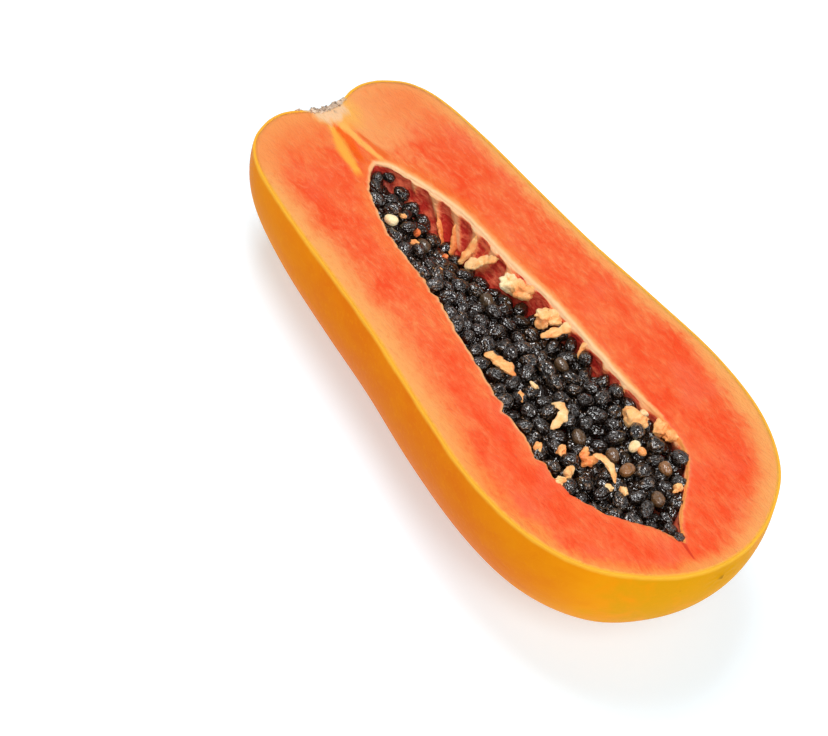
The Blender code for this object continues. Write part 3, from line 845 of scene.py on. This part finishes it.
# %% Cork lining
SCAR_RADIUS = 7.4
SCAR_GAP = 0.3
SCAR_ROUGHNESS = 0.55
dimple = [Vector((p.x - SCAR_GAP, p.y)) for p in skin_outline[:3 * OUTLINE_STEPS] if p.y <= SCAR_RADIUS]
scar = turned_bowl("stem_scar_cork", dimple, 72)
apply_modifier(scar, "SOLIDIFY", thickness=0.6 * MM, offset=1.0)
for vertex in scar.data.vertices:
    rough = noise.noise(vertex.co / MM * 0.8) + 0.7 * noise.noise(vertex.co / MM * 1.9)
    if vertex.co.x / MM < -98.9 - SCAR_GAP:
        vertex.co.x -= SCAR_ROUGHNESS * rough * MM
close_and_turn_out(0.002)
print("scar lining", len(scar.data.polygons), "faces")

# %% Torn fibres
FIBRES = 260
CRUMBS = 120
# The dimple's floor: distance from its middle, place along the fruit
DIMPLE_FLOOR = ((0.0, -98.9), (5.0, -99.9), (7.4, -101.0))
DIMPLE_EDGE = ((0.0, -98.9), (5.0, -99.9), (9.0, -101.8))
sliver = start_from(
    "sliver", bpy.ops.mesh.primitive_cone_add, vertices=5, radius1=0.5 * MM, radius2=0.12 * MM, depth=MM
)
chance = random.Random(5)
torn = [scar]
for _ in range(FIBRES):
    near = chance.random() < 0.5
    share = chance.random() ** 1.6
    angle = -math.pi * (share if near else 1 - share)
    radius = SCAR_RADIUS * math.sqrt(chance.uniform(0.05, 1.0))
    x = smooth_between(DIMPLE_FLOOR, radius) - 0.5
    spot = (x, radius * math.cos(angle), radius * math.sin(angle) * 0.9 - axis_drop(x))
    if spot[2] > -0.5:
        continue
    lean = [chance.uniform(-limit, limit) for limit in (1.2, 1.2, 0.6)]
    lean[1] -= math.pi / 2
    length = chance.uniform(0.7, 1.9)
    size = (chance.uniform(0.4, 1.1), chance.uniform(0.3, 0.6), length)
    torn.append(copy_to(sliver, "fibre", spot, Euler(lean), size))
for _ in range(CRUMBS):
    y = chance.gauss(-0.5, 3.4)
    x = smooth_between(DIMPLE_EDGE, abs(y))
    spot = (x + chance.uniform(-0.8, 1.3), y, chance.uniform(-1.0, 0.35))
    size = 0.4 + 1.3 * chance.random() ** 2
    torn.append(copy_to(sliver, "crumb", spot, any_turn(math.pi), (size * 1.1, size * 0.7, size)))
scar = join(torn, "stem_scar_cork")
settle(scar)
bpy.data.objects.remove(sliver)
print("scar", len(scar.data.polygons), "faces")

# %% [markdown]
# ## Shader maths
#
# A finish is a network of nodes, and most of those are arithmetic. A small class lets that arithmetic be
# written as ordinary Python: each socket is wrapped, and an expression on wrapped sockets adds the Math
# nodes that compute it.


# %% A socket that can be calculated with
def math_operator(operation, swapped=False):
    """An operator between a signal and another, or a number, that adds one Math node."""

    def add_node(self, other):
        return self.finish.maths(operation, *((other, self) if swapped else (self, other)))

    return add_node


class Signal:
    """One output socket of a finish, for use in ordinary arithmetic."""

    __add__ = __radd__ = math_operator("ADD")
    __sub__, __rsub__ = math_operator("SUBTRACT"), math_operator("SUBTRACT", swapped=True)
    __mul__ = __rmul__ = math_operator("MULTIPLY")
    __truediv__ = math_operator("DIVIDE")
    __pow__ = math_operator("POWER")
    larger_of = math_operator("MAXIMUM")

    def __init__(self, finish, socket):
        self.finish = finish
        self.socket = socket

    def __abs__(self):
        return self.finish.maths("ABSOLUTE", self)

    def ease(self, low, high, start=0.0, end=1.0):
        """Go smoothly from start to end while the signal goes from low to high."""
        limits = {"Value": self, "From Min": low, "From Max": high, "To Min": start, "To Max": end}
        return self.finish.node("MapRange", {"interpolation_type": "SMOOTHSTEP"}, limits)

    def fade(self, low, high, end=0.0):
        """Go smoothly from 1 down to the end value while the signal goes from low to high."""
        return self.ease(low, high, 1.0, end)


# %% A finish under construction
class Finish:
    """A material, or a world, whose nodes are added by calls and lead to its one shader."""

    def __init__(self, name, kind="materials", shader="Principled BSDF", **fixed):
        self.owner = getattr(bpy.data, kind).new(name)
        self.owner.use_nodes = True
        self.nodes = self.owner.node_tree.nodes
        self.links = self.owner.node_tree.links
        self.shader = self.nodes[shader]
        self.colour = None
        self.feed(**fixed)

    def join(self, value, socket):
        """Link a signal to a socket, or set the socket to a plain value."""
        if isinstance(value, Signal):
            self.links.new(value.socket, socket)
        else:
            socket.default_value = (*value, 1.0) if socket.type == "RGBA" else value

    def feed(self, **feeds):
        """Link or set sockets of the shader, with an underline for each space in their names."""
        for socket, value in feeds.items():
            self.join(value, self.shader.inputs[socket.replace("_", " ")])

    def node(self, kind, settings, inputs, output=0):
        """Any shader node: its settings come first, then the values or links of its sockets."""
        node = self.nodes.new("ShaderNode" + kind)
        stops = settings.pop("stops", ())
        for name, value in settings.items():
            setattr(node, name, value)
        for _ in stops[2:]:
            node.color_ramp.elements.new(0.5)
        for index, (position, colour) in enumerate(stops):
            node.color_ramp.elements[index].position = position
            node.color_ramp.elements[index].color = (*colour, 1.0)
        for name, value in inputs.items():
            self.join(value, node.inputs[name])
        return Signal(self, node.outputs[output])

    def maths(self, operation, *values):
        """One Math node."""
        return self.node("Math", {"operation": operation}, dict(enumerate(values)))

    def vectors(self, operation, *values, output=0):
        """One Vector Math node; its second output is a number."""
        return self.node("VectorMath", {"operation": operation}, dict(enumerate(values)), output)

    def mix(self, below, above, share):
        """One colour laid over another by a share from 0 to 1."""
        return self.node("Mix", {"data_type": "RGBA", "clamp_factor": True}, {0: share, 6: below, 7: above}, 2)

    def lay(self, colour, share):
        """Lay a colour over the finish's own colour so far."""
        self.colour = self.mix(self.colour, colour, share)

    def ramp(self, value, *stops):
        """A colour read from a ramp."""
        return self.node("ValToRGB", {"stops": stops}, {"Fac": value})

    def attribute(self, name, output=2):
        """A number stored on the mesh, or with output 1 a place."""
        return self.node("Attribute", {"attribute_name": name}, {}, output)

    def fruit_place(self):
        """Object coordinates turned back into the fruit's own frame, still in metres."""
        turned_back = {"Location": settle_shift, "Rotation": tilt.to_euler()}
        place = self.node("TexCoord", {}, {}, 3)
        return self.node("Mapping", {"vector_type": "TEXTURE"}, {"Vector": place, **turned_back})

    def parts(self, place):
        """The three numbers of a place."""
        split = self.node("SeparateXYZ", {}, {"Vector": place}).socket.node
        return [Signal(self, output) for output in split.outputs]

    def noise(self, place, scale, detail, roughness, distortion=0.0):
        """Cloudy noise, from 0 to 1."""
        look = {"Scale": scale, "Detail": detail, "Roughness": roughness, "Distortion": distortion}
        return self.node("TexNoise", {}, {"Vector": place, **look})

    def drawn_out(self, place, stretch, *look):
        """Noise on both sides of 0, with its place scaled along each of the fruit's axes."""
        return self.noise(self.vectors("MULTIPLY", place, stretch), *look) - 0.5

    def bump(self, height, distance, strength, **under):
        """Raised detail in metres, over another bump if one is given as Normal."""
        return self.node("Bump", {}, {"Height": height, "Distance": distance, "Strength": strength, **under})

    def wear(self, thing, **feeds):
        """Feed the shader, its Base Color with the finish's own colour, and put the finish on a piece."""
        self.feed(**{"Base_Color": self.colour, **feeds})
        thing.data.materials.clear()
        thing.data.materials.append(self.owner)
        print(self.owner.name, len(self.nodes), "nodes")


# %% [markdown]
# ## The finish of the flesh
#
# Ripe flesh is coral red, strongest between cavity and skin. It turns orange towards the cavity, and salmon
# and then peach in the last centimetre under the skin. Up close it is mottled along the fruit, because the
# juice lies in short threads. So three noises of different grain are added up, each drawn out lengthwise,
# and a ramp turns the sum into colour. The two distances that the mesh carries place the bands, and the
# same noises keep their edges uneven.

# %% Flesh: the mottled middle
flesh_finish = Finish(
    "ripe flesh", Roughness=0.5, Specular_IOR_Level=0.14, Subsurface_Weight=0.2, Subsurface_Scale=0.003,
    Subsurface_Radius=(1.0, 0.5, 0.3),
)
place = flesh_finish.fruit_place()
x, y, _ = flesh_finish.parts(place)
lip, rind, far, web = (
    flesh_finish.attribute(name) for name in ("from_lip", "from_skin", "far_share", "web_cover")
)
cloud, streak, mottle, fibre = (
    flesh_finish.drawn_out(place, (stretch, 1.0, 1.0), *look)
    for stretch, *look in (
        (0.55, 80.0, 3.0, 0.55, 0.5), (0.45, 270.0, 3.0, 0.6, 1.0), (0.5, 640.0, 3.0, 0.65, 0.5),
        (0.35, 1700.0, 2.0, 0.6),
    )
)
middle_band = lip.ease(0.5, 6.0) * rind.ease(3.0, 12.0)
stem_half = x.fade(-0.05, 0.04)
ripeness = cloud * 1.6 + streak * 1.2 + mottle * 0.8 + middle_band * 0.16 + x.ease(0.0, 0.08) * 0.12
flesh_finish.colour = flesh_finish.ramp(
    ripeness + 0.42, (0.1, (0.84, 0.195, 0.055)), (0.5, (0.83, 0.125, 0.034)), (0.95, (0.82, 0.068, 0.012))
)
pinker = flesh_finish.noise(place, 45.0, 2.0, 0.5)
flesh_finish.lay((0.83, 0.14, 0.062), pinker.ease(0.5, 0.68) * 0.5)
near_lip = (lip + streak * 5.0).fade(0.5, 9.0) * stem_half
flesh_finish.lay((0.83, 0.185, 0.022), near_lip * (0.35 + far * 0.45))
print("flesh middle", len(flesh_finish.nodes), "nodes")

# %% Flesh: the bands under the skin
uneven = cloud * 7.0 + streak * 6.0 + mottle * 4.0
near_width = x.ease(-0.01, 0.08, 15.0, 6.0)
far_width = x.ease(0.03, 0.09, 7.5, 12.0)
band_width = near_width * (1.0 - far) + far_width * far
salmon = (rind + uneven).fade(0.0, band_width)
salmon_colour = flesh_finish.mix((0.83, 0.31, 0.09), (0.83, 0.235, 0.035), x.ease(0.0, 0.06) * (1.0 - far))
peach = (rind + uneven * 0.4).fade(0.3, band_width * 0.6)
# The last millimetre of flesh under the skin is golden yellow: partly its own colour, partly a painted highlight
# along the rim
golden = (rind + mottle).fade(0.15, 0.9)
juice_threads = mottle + fibre * 0.8 + streak * 0.6
thread_share = 0.08 + stem_half * 0.14
dots = flesh_finish.node(
    "TexVoronoi", {}, {"Vector": flesh_finish.vectors("MULTIPLY", place, (0.7, 1.0, 1.0)), "Scale": 560.0}
)
dotted = dots.fade(0.1, 0.26) * (x + cloud * 0.1).ease(0.03, 0.08) * middle_band
for colour, share in (
    (salmon_colour, salmon * 0.95),
    ((0.84, 0.375, 0.105), peach * (x - far * 0.06).ease(0.0, 0.06, 0.8, 0.3)),
    ((0.88, 0.42, 0.05), golden * 0.85),
    ((0.80, 0.08, 0.012), juice_threads.ease(0.0, 0.3) * thread_share),
    ((0.87, 0.31, 0.13), juice_threads.fade(-0.3, 0.0) * thread_share),
    ((0.72, 0.05, 0.01), dotted * 0.45),
):
    flesh_finish.lay(colour, share)
print("flesh bands", len(flesh_finish.nodes), "nodes")

# %% [markdown]
# At the stem end the sap used to run into the fruit. Two yellow veins and a deep orange lens between them
# lead from the dimple to the cavity, and the tissue next to the stalk is cream. A pale membrane edges the
# cavity, wide on the far side, and the wall below it is dark red and wet.

# %% Flesh: veins at the stem end
along_mm, across_mm = x * 1000.0, y * 1000.0
wobble = streak * 3.0 + mottle * 1.6


def band_along(start, end, start_width, end_width, uneven, fade_in, fade_out):
    """1 along a line between two points of the cut face, in millimetres, fading to its sides and ends."""
    length = math.hypot(end[0] - start[0], end[1] - start[1])
    step_x, step_y = (end[0] - start[0]) / length, (end[1] - start[1]) / length
    along = (along_mm - start[0]) * step_x + (across_mm - start[1]) * step_y
    aside = (across_mm - start[1]) * step_x - (along_mm - start[0]) * step_y + uneven
    side = (abs(aside) / along.ease(0.0, length, start_width, end_width)).fade(0.35, 1.5)
    ending = (along + uneven).fade(length - fade_out * 0.3, length + fade_out)
    return side * along.ease(-fade_in, 0.0) * ending


def round_about(middle_x, middle_y, reach_x, reach_y):
    """Distance from a point of the cut face, as a share of an oval's reach along and across."""
    return (((along_mm - middle_x) / reach_x) ** 2 + ((across_mm - middle_y) / reach_y) ** 2) ** 0.5


stem_zone = (x + streak * 0.02).fade(-0.092, -0.074)
right_lobe = (x + streak * 0.02).fade(-0.082, -0.064) * (across_mm + wobble).ease(1.0, 4.0)
right_lobe = right_lobe * (across_mm + wobble * 2.0).fade(6.0, 24.0, 0.3)
yellow = (round_about(-99.0, 1.0, 15.0, 9.0) + wobble * 0.12).fade(0.45, 1.1)
# A darker orange line just beyond the far-side vein: painted shade beside the vein
painted_shade_by_vein = band_along((-84.0, 2.2), (-73.0, 4.0), 0.5, 1.5, wobble * 0.3, 3.0, 2.0)
for colour, share in (
    ((0.84, 0.235, 0.06), stem_zone * 0.6),
    ((0.85, 0.34, 0.11), right_lobe * 0.85),
    ((0.87, 0.42, 0.08), yellow * 0.8),
    ((0.78, 0.12, 0.01), painted_shade_by_vein * 0.8),
):
    flesh_finish.lay(colour, share)
# The lens and the two veins: start, middle and end, the half width at each, and the colour
for start, middle, end, (start_width, middle_width, end_width), colour in (
    ((-91.5, -2.8), (-86.0, -2.9), (-75.5, -3.9), (1.3, 2.6, 1.3), (0.84, 0.105, 0.0)),
    ((-91.0, -4.3), (-82.6, -6.5), (-71.6, -8.2), (1.2, 2.1, 1.4), (0.90, 0.41, 0.05)),
    ((-91.0, -0.6), (-82.4, 0.4), (-73.0, 2.0), (1.2, 1.0, 0.9), (0.88, 0.44, 0.1)),
):
    upper = band_along(start, middle, start_width, middle_width, wobble * 0.5, 2.5, 1.0)
    lower = band_along(middle, end, middle_width, end_width, wobble * 0.5, 1.0, 3.5)
    flesh_finish.lay(colour, upper.larger_of(lower) * 0.9)
tip_line = band_along((92.0, -6.4), (98.6, -7.1), 0.7, 0.3, wobble * 0.2, 1.5, 1.5)
flesh_finish.lay((0.6, 0.03, 0.008), tip_line * 0.85)
from_scar = round_about(-100.0, -1.0, 8.0, 7.0)
cream = (from_scar + wobble * 0.22 + cloud * 1.2).fade(0.6, 1.1)
flesh_finish.lay((0.84, 0.53, 0.30), cream)
grit = (mottle + fibre * 0.6).ease(0.05, 0.16) * (from_scar + wobble * 0.2).fade(0.35, 0.6)
flesh_finish.lay((0.40, 0.27, 0.2), grit * 0.7)
print("flesh at the stem", len(flesh_finish.nodes), "nodes")

# %% Flesh: membrane and wall
thinner = x.fade(0.03, 0.06, 0.15)
membrane_width = 0.45 + 0.75 * thinner + far * 2.3 * thinner
membrane = (lip + streak * 1.6 + mottle).fade(membrane_width * 0.35, membrane_width)
membrane_colour = flesh_finish.mix((0.86, 0.26, 0.03), (0.88, 0.37, 0.12), thinner)
core = (lip + mottle).fade(0.5, 1.7) * (0.3 + far * 0.7) * thinner
redness = (streak + mottle * 0.5 + cloud * 0.6).ease(-0.14, 0.2)
bare_wall = flesh_finish.mix((0.54, 0.03, 0.02), (0.90, 0.18, 0.09), redness)
tissue = flesh_finish.mix((0.92, 0.20, 0.08), (0.97, 0.44, 0.20), (web + mottle * 0.8).ease(0.45, 1.0))
wall = flesh_finish.mix(bare_wall, tissue, (web + streak * 0.9 + mottle * 0.8).ease(0.22, 0.62))
in_wall = (lip + streak + mottle).fade(-1.1, -0.2)
for colour, share in ((membrane_colour, membrane * 0.95), ((0.92, 0.58, 0.32), core * 0.9), (wall, in_wall)):
    flesh_finish.lay(colour, share)
flesh_bump = flesh_finish.bump(streak + mottle * 0.6, 0.0011, 0.35)
flesh_finish.wear(
    flesh,
    Roughness=cloud.ease(-0.2, 0.2, 0.42, 0.55) - in_wall * 0.2,
    Normal=flesh_finish.bump(mottle + fibre * 0.7, 0.0005, 0.5, Normal=flesh_bump),
)

# %% [markdown]
# ## The finish of the skin
#
# Ripe skin is golden orange, smooth and waxy, and never even. It is more orange round the middle and
# yellower at the ends. Along the cut it is painted yellow-gold, partly the paler edge of the skin itself and
# partly a painted highlight along the rim. A breath of green is left near the ends, and there are fine pores
# and a few brown specks.

# %% Skin
skin_finish = Finish("waxy ripe skin", Roughness=0.4, Specular_IOR_Level=0.012)
place = skin_finish.fruit_place()
x, y, z = skin_finish.parts(place)
blotch = skin_finish.drawn_out(place, (0.6, 1.0, 1.0), 22.0, 3.0, 0.5, 0.4)
mottle = skin_finish.drawn_out(place, (0.7, 1.0, 1.0), 150.0, 3.0, 0.55, 0.3)
grain = skin_finish.noise(place, 700.0, 3.0, 0.6) - 0.5
patchy_x = x + blotch * 0.05
yellower = patchy_x.ease(0.035, 0.095) + patchy_x.ease(-0.09, -0.03, 0.5, 0.0)
skin_finish.colour = skin_finish.mix(
    (0.74, 0.165, 0.001), (0.84, 0.29, 0.002), yellower + blotch * 1.2 + mottle * 0.7 + 0.1
)
ends = abs(x).ease(0.07, 0.1)
green = (blotch + mottle * 0.5 + ends * 0.2).ease(0.06, 0.3) * ends
specks = skin_finish.node("TexVoronoi", {}, {"Vector": place, "Scale": 210.0})
specked = specks.fade(0.07, 0.16) * (blotch + mottle * 0.6).ease(0.02, 0.16)
# Yellow-gold within a millimetre or two of the cut: partly the skin's own paler edge, partly a painted highlight
# along the rim
edge_tone_and_rim_highlight = (z * 1000.0 + mottle).ease(-1.6, -0.2)
by_stalk = (abs(y * 1000.0 + 0.6) + mottle * 6.0).fade(6.5, 9.0)
by_stalk = by_stalk * x.fade(-0.098, -0.096) * z.ease(-0.006, -0.003)
for colour, share in (
    ((0.56, 0.32, 0.003), green * 0.5),
    ((0.86, 0.32, 0.004), grain.ease(0.02, 0.2) * 0.2),
    ((0.5, 0.14, 0.004), specked * 0.35),
    ((0.90, 0.48, 0.05), edge_tone_and_rim_highlight * 0.75),
    ((0.62, 0.48, 0.36), by_stalk),
):
    skin_finish.lay(colour, share)
print("skin", len(skin_finish.nodes), "nodes")

# %% Skin: the mark of the flower
reach = skin_finish.vectors("DISTANCE", place, tuple(BLOSSOM_MIDDLE * MM), output=1) * 1000.0
drawn = (reach + blotch * 6.0 + mottle * 5.0).fade(2.0, 10.0)
skin_finish.lay((0.60, 0.27, 0.004), drawn * 0.35)
dry = (reach + mottle * 4.0).fade(0.3, 1.9)
skin_finish.lay((0.26, 0.11, 0.02), dry * 0.6)
skin_bump = skin_finish.bump(blotch, 0.003, 0.15)
skin_finish.wear(
    skin,
    Roughness=(blotch + mottle * 0.5).ease(-0.2, 0.2, 0.36, 0.5) + dry * 0.3,
    Normal=skin_finish.bump(grain + mottle * 0.8, 0.00025, 0.45, Normal=skin_bump),
)

# %% [markdown]
# ## The finish of the seeds and the pulp
#
# A seed's jelly coat shrinks into coarse wet wrinkles with many tiny glints. Its colour is painted near black
# down in the furrows and brown-grey on the pebble tops: painted shade in the furrows and painted light on the
# tops. The wrinkles are too fine for a shape that is repeated hundreds of times, so a bump makes them. It reads
# the place on the seed that every corner remembers, and the seed's own shade shifts it, so no two seeds are
# alike.

# %% Seeds
seed_finish = Finish("wet dark seed", Roughness=0.2, IOR=1.6, Specular_IOR_Level=0.9)
shade = seed_finish.attribute("shade")
shift = seed_finish.node("CombineXYZ", {}, {"X": shade * 90.0})
place = seed_finish.vectors("ADD", seed_finish.attribute("own_place", 1), shift)
warp = seed_finish.node("TexNoise", {}, {"Vector": place, "Scale": 0.7, "Detail": 2.0}, 1)
warped = seed_finish.vectors("MULTIPLY", seed_finish.vectors("ADD", place, warp), (0.6, 1.0, 1.0))
pebbles = seed_finish.node(
    "TexVoronoi", {"feature": "SMOOTH_F1"}, {"Vector": warped, "Scale": 1.0, "Smoothness": 0.4}
)
folds = seed_finish.noise(place, 0.9, 1.0, 0.5, 0.4) - 0.5
wrinkled = shade.fade(1.2, 1.6)
height = (0.7 - pebbles) * 1.1 + folds * 0.7
# Colour by height on the wrinkles, near black low down and brown-grey on top: painted shade in the furrows and
# painted light on the pebbles
coat_with_painted_furrow_shade = seed_finish.ramp(
    height, (0.1, (0.004, 0.0022, 0.0015)), (0.4, (0.045, 0.023, 0.011)), (0.8, (0.29, 0.16, 0.08))
)
lighter = shade.ease(0.35, 1.0) * wrinkled
coat_with_painted_furrow_shade = seed_finish.mix((0.008, 0.0035, 0.002), coat_with_painted_furrow_shade, 0.2 + lighter * 0.8)
seed_finish.colour = seed_finish.mix((0.09, 0.05, 0.022), (0.29, 0.12, 0.035), shade.ease(2.0, 2.5))
seed_finish.lay((0.02, 0.011, 0.006), folds.ease(0.0, 0.2) * 0.5)
seed_finish.lay(coat_with_painted_furrow_shade, wrinkled)
seed_finish.wear(
    seeds,
    Roughness=folds.ease(-0.15, 0.15, 0.1, 0.17) + (1.0 - wrinkled) * 0.14,
    Normal=seed_finish.bump(height * (0.4 + 0.6 * wrinkled), 0.00055, 1.0),
)

# %% Pulp
# The pulp glows a little in its own colour: painted light standing in for light that passes through the soft tissue
pulp_finish = Finish(
    "torn pulp", Roughness=0.3, Specular_IOR_Level=0.3, Subsurface_Weight=0.2, Subsurface_Scale=0.001,
    Subsurface_Radius=(1.0, 0.7, 0.5), Emission_Strength=0.12,
)
place = pulp_finish.fruit_place()
shade = pulp_finish.attribute("shade")
tissue = pulp_finish.noise(place, 380.0, 4.0, 0.65, 0.5) - 0.5
patches = pulp_finish.noise(place, 170.0, 2.0, 0.5, 0.5) - 0.5
threads = pulp_finish.drawn_out(place, (1.0, 0.4, 0.4), 900.0, 2.0, 0.6, 0.6)
pulp_finish.colour = pulp_finish.ramp(
    shade + patches * 1.1 + tissue * 0.6 + threads * 0.3,
    (0.0, (0.76, 0.15, 0.04)), (0.3, (0.90, 0.30, 0.085)), (0.6, (0.96, 0.50, 0.19)), (1.0, (0.97, 0.78, 0.46)),
)
pulp_finish.wear(
    pulp,
    # The glow in the pulp's own colour is painted light
    Emission_Color=pulp_finish.colour,
    Roughness=tissue.ease(-0.2, 0.2, 0.2, 0.42),
    Normal=pulp_finish.bump(tissue + threads * 0.8, 0.0008, 0.7),
)

# %% Cork
cork_finish = Finish("dry cork", Roughness=0.9, Specular_IOR_Level=0.15)
bark = cork_finish.noise(cork_finish.fruit_place(), 620.0, 4.0, 0.65, 0.6)
cork_finish.colour = cork_finish.ramp(
    bark, (0.34, (0.16, 0.11, 0.08)), (0.47, (0.50, 0.38, 0.29)), (0.6, (0.84, 0.66, 0.50))
)
cork_finish.wear(scar, Roughness=bark.ease(0.3, 0.7, 0.95, 0.8), Normal=cork_finish.bump(bark, 0.0006, 0.9))

# %% [markdown]
# ## Into the frame
#
# Every piece rides on the one body, root. The solid that it stands for is hidden, and the piece's name,
# material slot and count of faces are printed.

# %% Put the pieces in the frame
skin.data.shade_smooth()
for piece, slot, node in (
    (skin, "skin", "papaya_half"),
    (flesh, "flesh", "papaya_half"),
    (pulp, "pulp", "papaya_half"),
    (seeds, "seed", "seeds"),
    (scar, "cork", "stem_scar"),
):
    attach(piece, "root")
    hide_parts(node)
    print(piece.name, slot, len(piece.data.polygons), "faces")

# %% [markdown]
# ## Camera, light and floor
#
# The camera looks at the fruit from the photograph's side. Fruit on white is usually shot on a lit white
# table in a bright cove: light comes from all round and from below, and only a small soft shadow is left
# where the skin touches down. So the floor gives a little light of its own, more of it farther from the
# fruit, and the room is white at the horizon and dimmer overhead. That dim ceiling is what keeps wet dark
# seeds dark, while small lamps above put the glints on them.

# %% Camera
AZIMUTH = 42.3
ELEVATION = 48.2
ROLL = 16.0
DISTANCE = 0.84
AIM = Vector((2.9, -39.3, 0.0))
LENS = 122.8


def camera_matrix():
    """The camera's place in the fruit's own frame: looking at the aim from the given angles, rolled."""
    a, e, roll = (math.radians(angle) for angle in (AZIMUTH, ELEVATION, ROLL))
    back = Vector((math.sin(a) * math.cos(e), -math.cos(a) * math.cos(e), math.sin(e)))
    level = Vector((math.cos(a), math.sin(a), 0.0))
    up = back.cross(level)
    right = level * math.cos(roll) + up * math.sin(roll)
    up = back.cross(right)
    turn = Matrix((right, up, back)).transposed().to_4x4()
    return Matrix.Translation(AIM * MM + back * DISTANCE) @ turn


bpy.ops.object.camera_add()
camera = bpy.context.object
camera.data.lens = LENS
camera.data.clip_start = 0.01
camera.data.clip_end = 20.0
camera.matrix_world = SETTLE @ camera_matrix()
bpy.context.scene.camera = camera
print("camera at", [round(value, 3) for value in camera.location])

# %% Floor and light
floor = start_from("floor", bpy.ops.mesh.primitive_plane_add, size=12.0, location=(0, 0, 0))
floor_finish = Finish("plain pale floor", Roughness=0.8, Specular_IOR_Level=0.1, Emission_Strength=1.0)
away = floor_finish.vectors("LENGTH", floor_finish.fruit_place(), output=1)
glow = floor_finish.mix((0.45, 0.47, 0.47), (0.8, 0.77, 0.74), away.ease(0.25, 0.9))
floor_finish.wear(floor, Base_Color=(0.58, 0.7, 0.79), Emission_Color=glow)

cove = Finish("white cove", "worlds", "Background", Color=(1.0, 1.0, 1.0))
_, _, upwards = cove.parts(cove.node("TexCoord", {}, {}))
cove.feed(Strength=upwards.ease(0.1, 0.6, 0.95, 0.15))
bpy.context.scene.world = cove.owner


def softbox(name, direction, distance, size, energy):
    """A square area light that looks at the fruit from a direction."""
    bpy.ops.object.light_add(type="AREA")
    lamp = bpy.context.object
    lamp.name = name
    lamp.data.size = size
    lamp.data.energy = energy
    direction = Vector(direction).normalized()
    lamp.location = direction * distance
    lamp.rotation_mode = "QUATERNION"
    lamp.rotation_quaternion = direction.to_track_quat("Z", "Y")


softbox("key", (-0.24, -0.1, 1.0), 1.1, 0.42, 7.5)
softbox("glint", (0.5, -0.4, 1.0), 1.0, 0.26, 2.8)
softbox("right side", (1.0, 0.3, 0.5), 1.2, 0.8, 3.4)
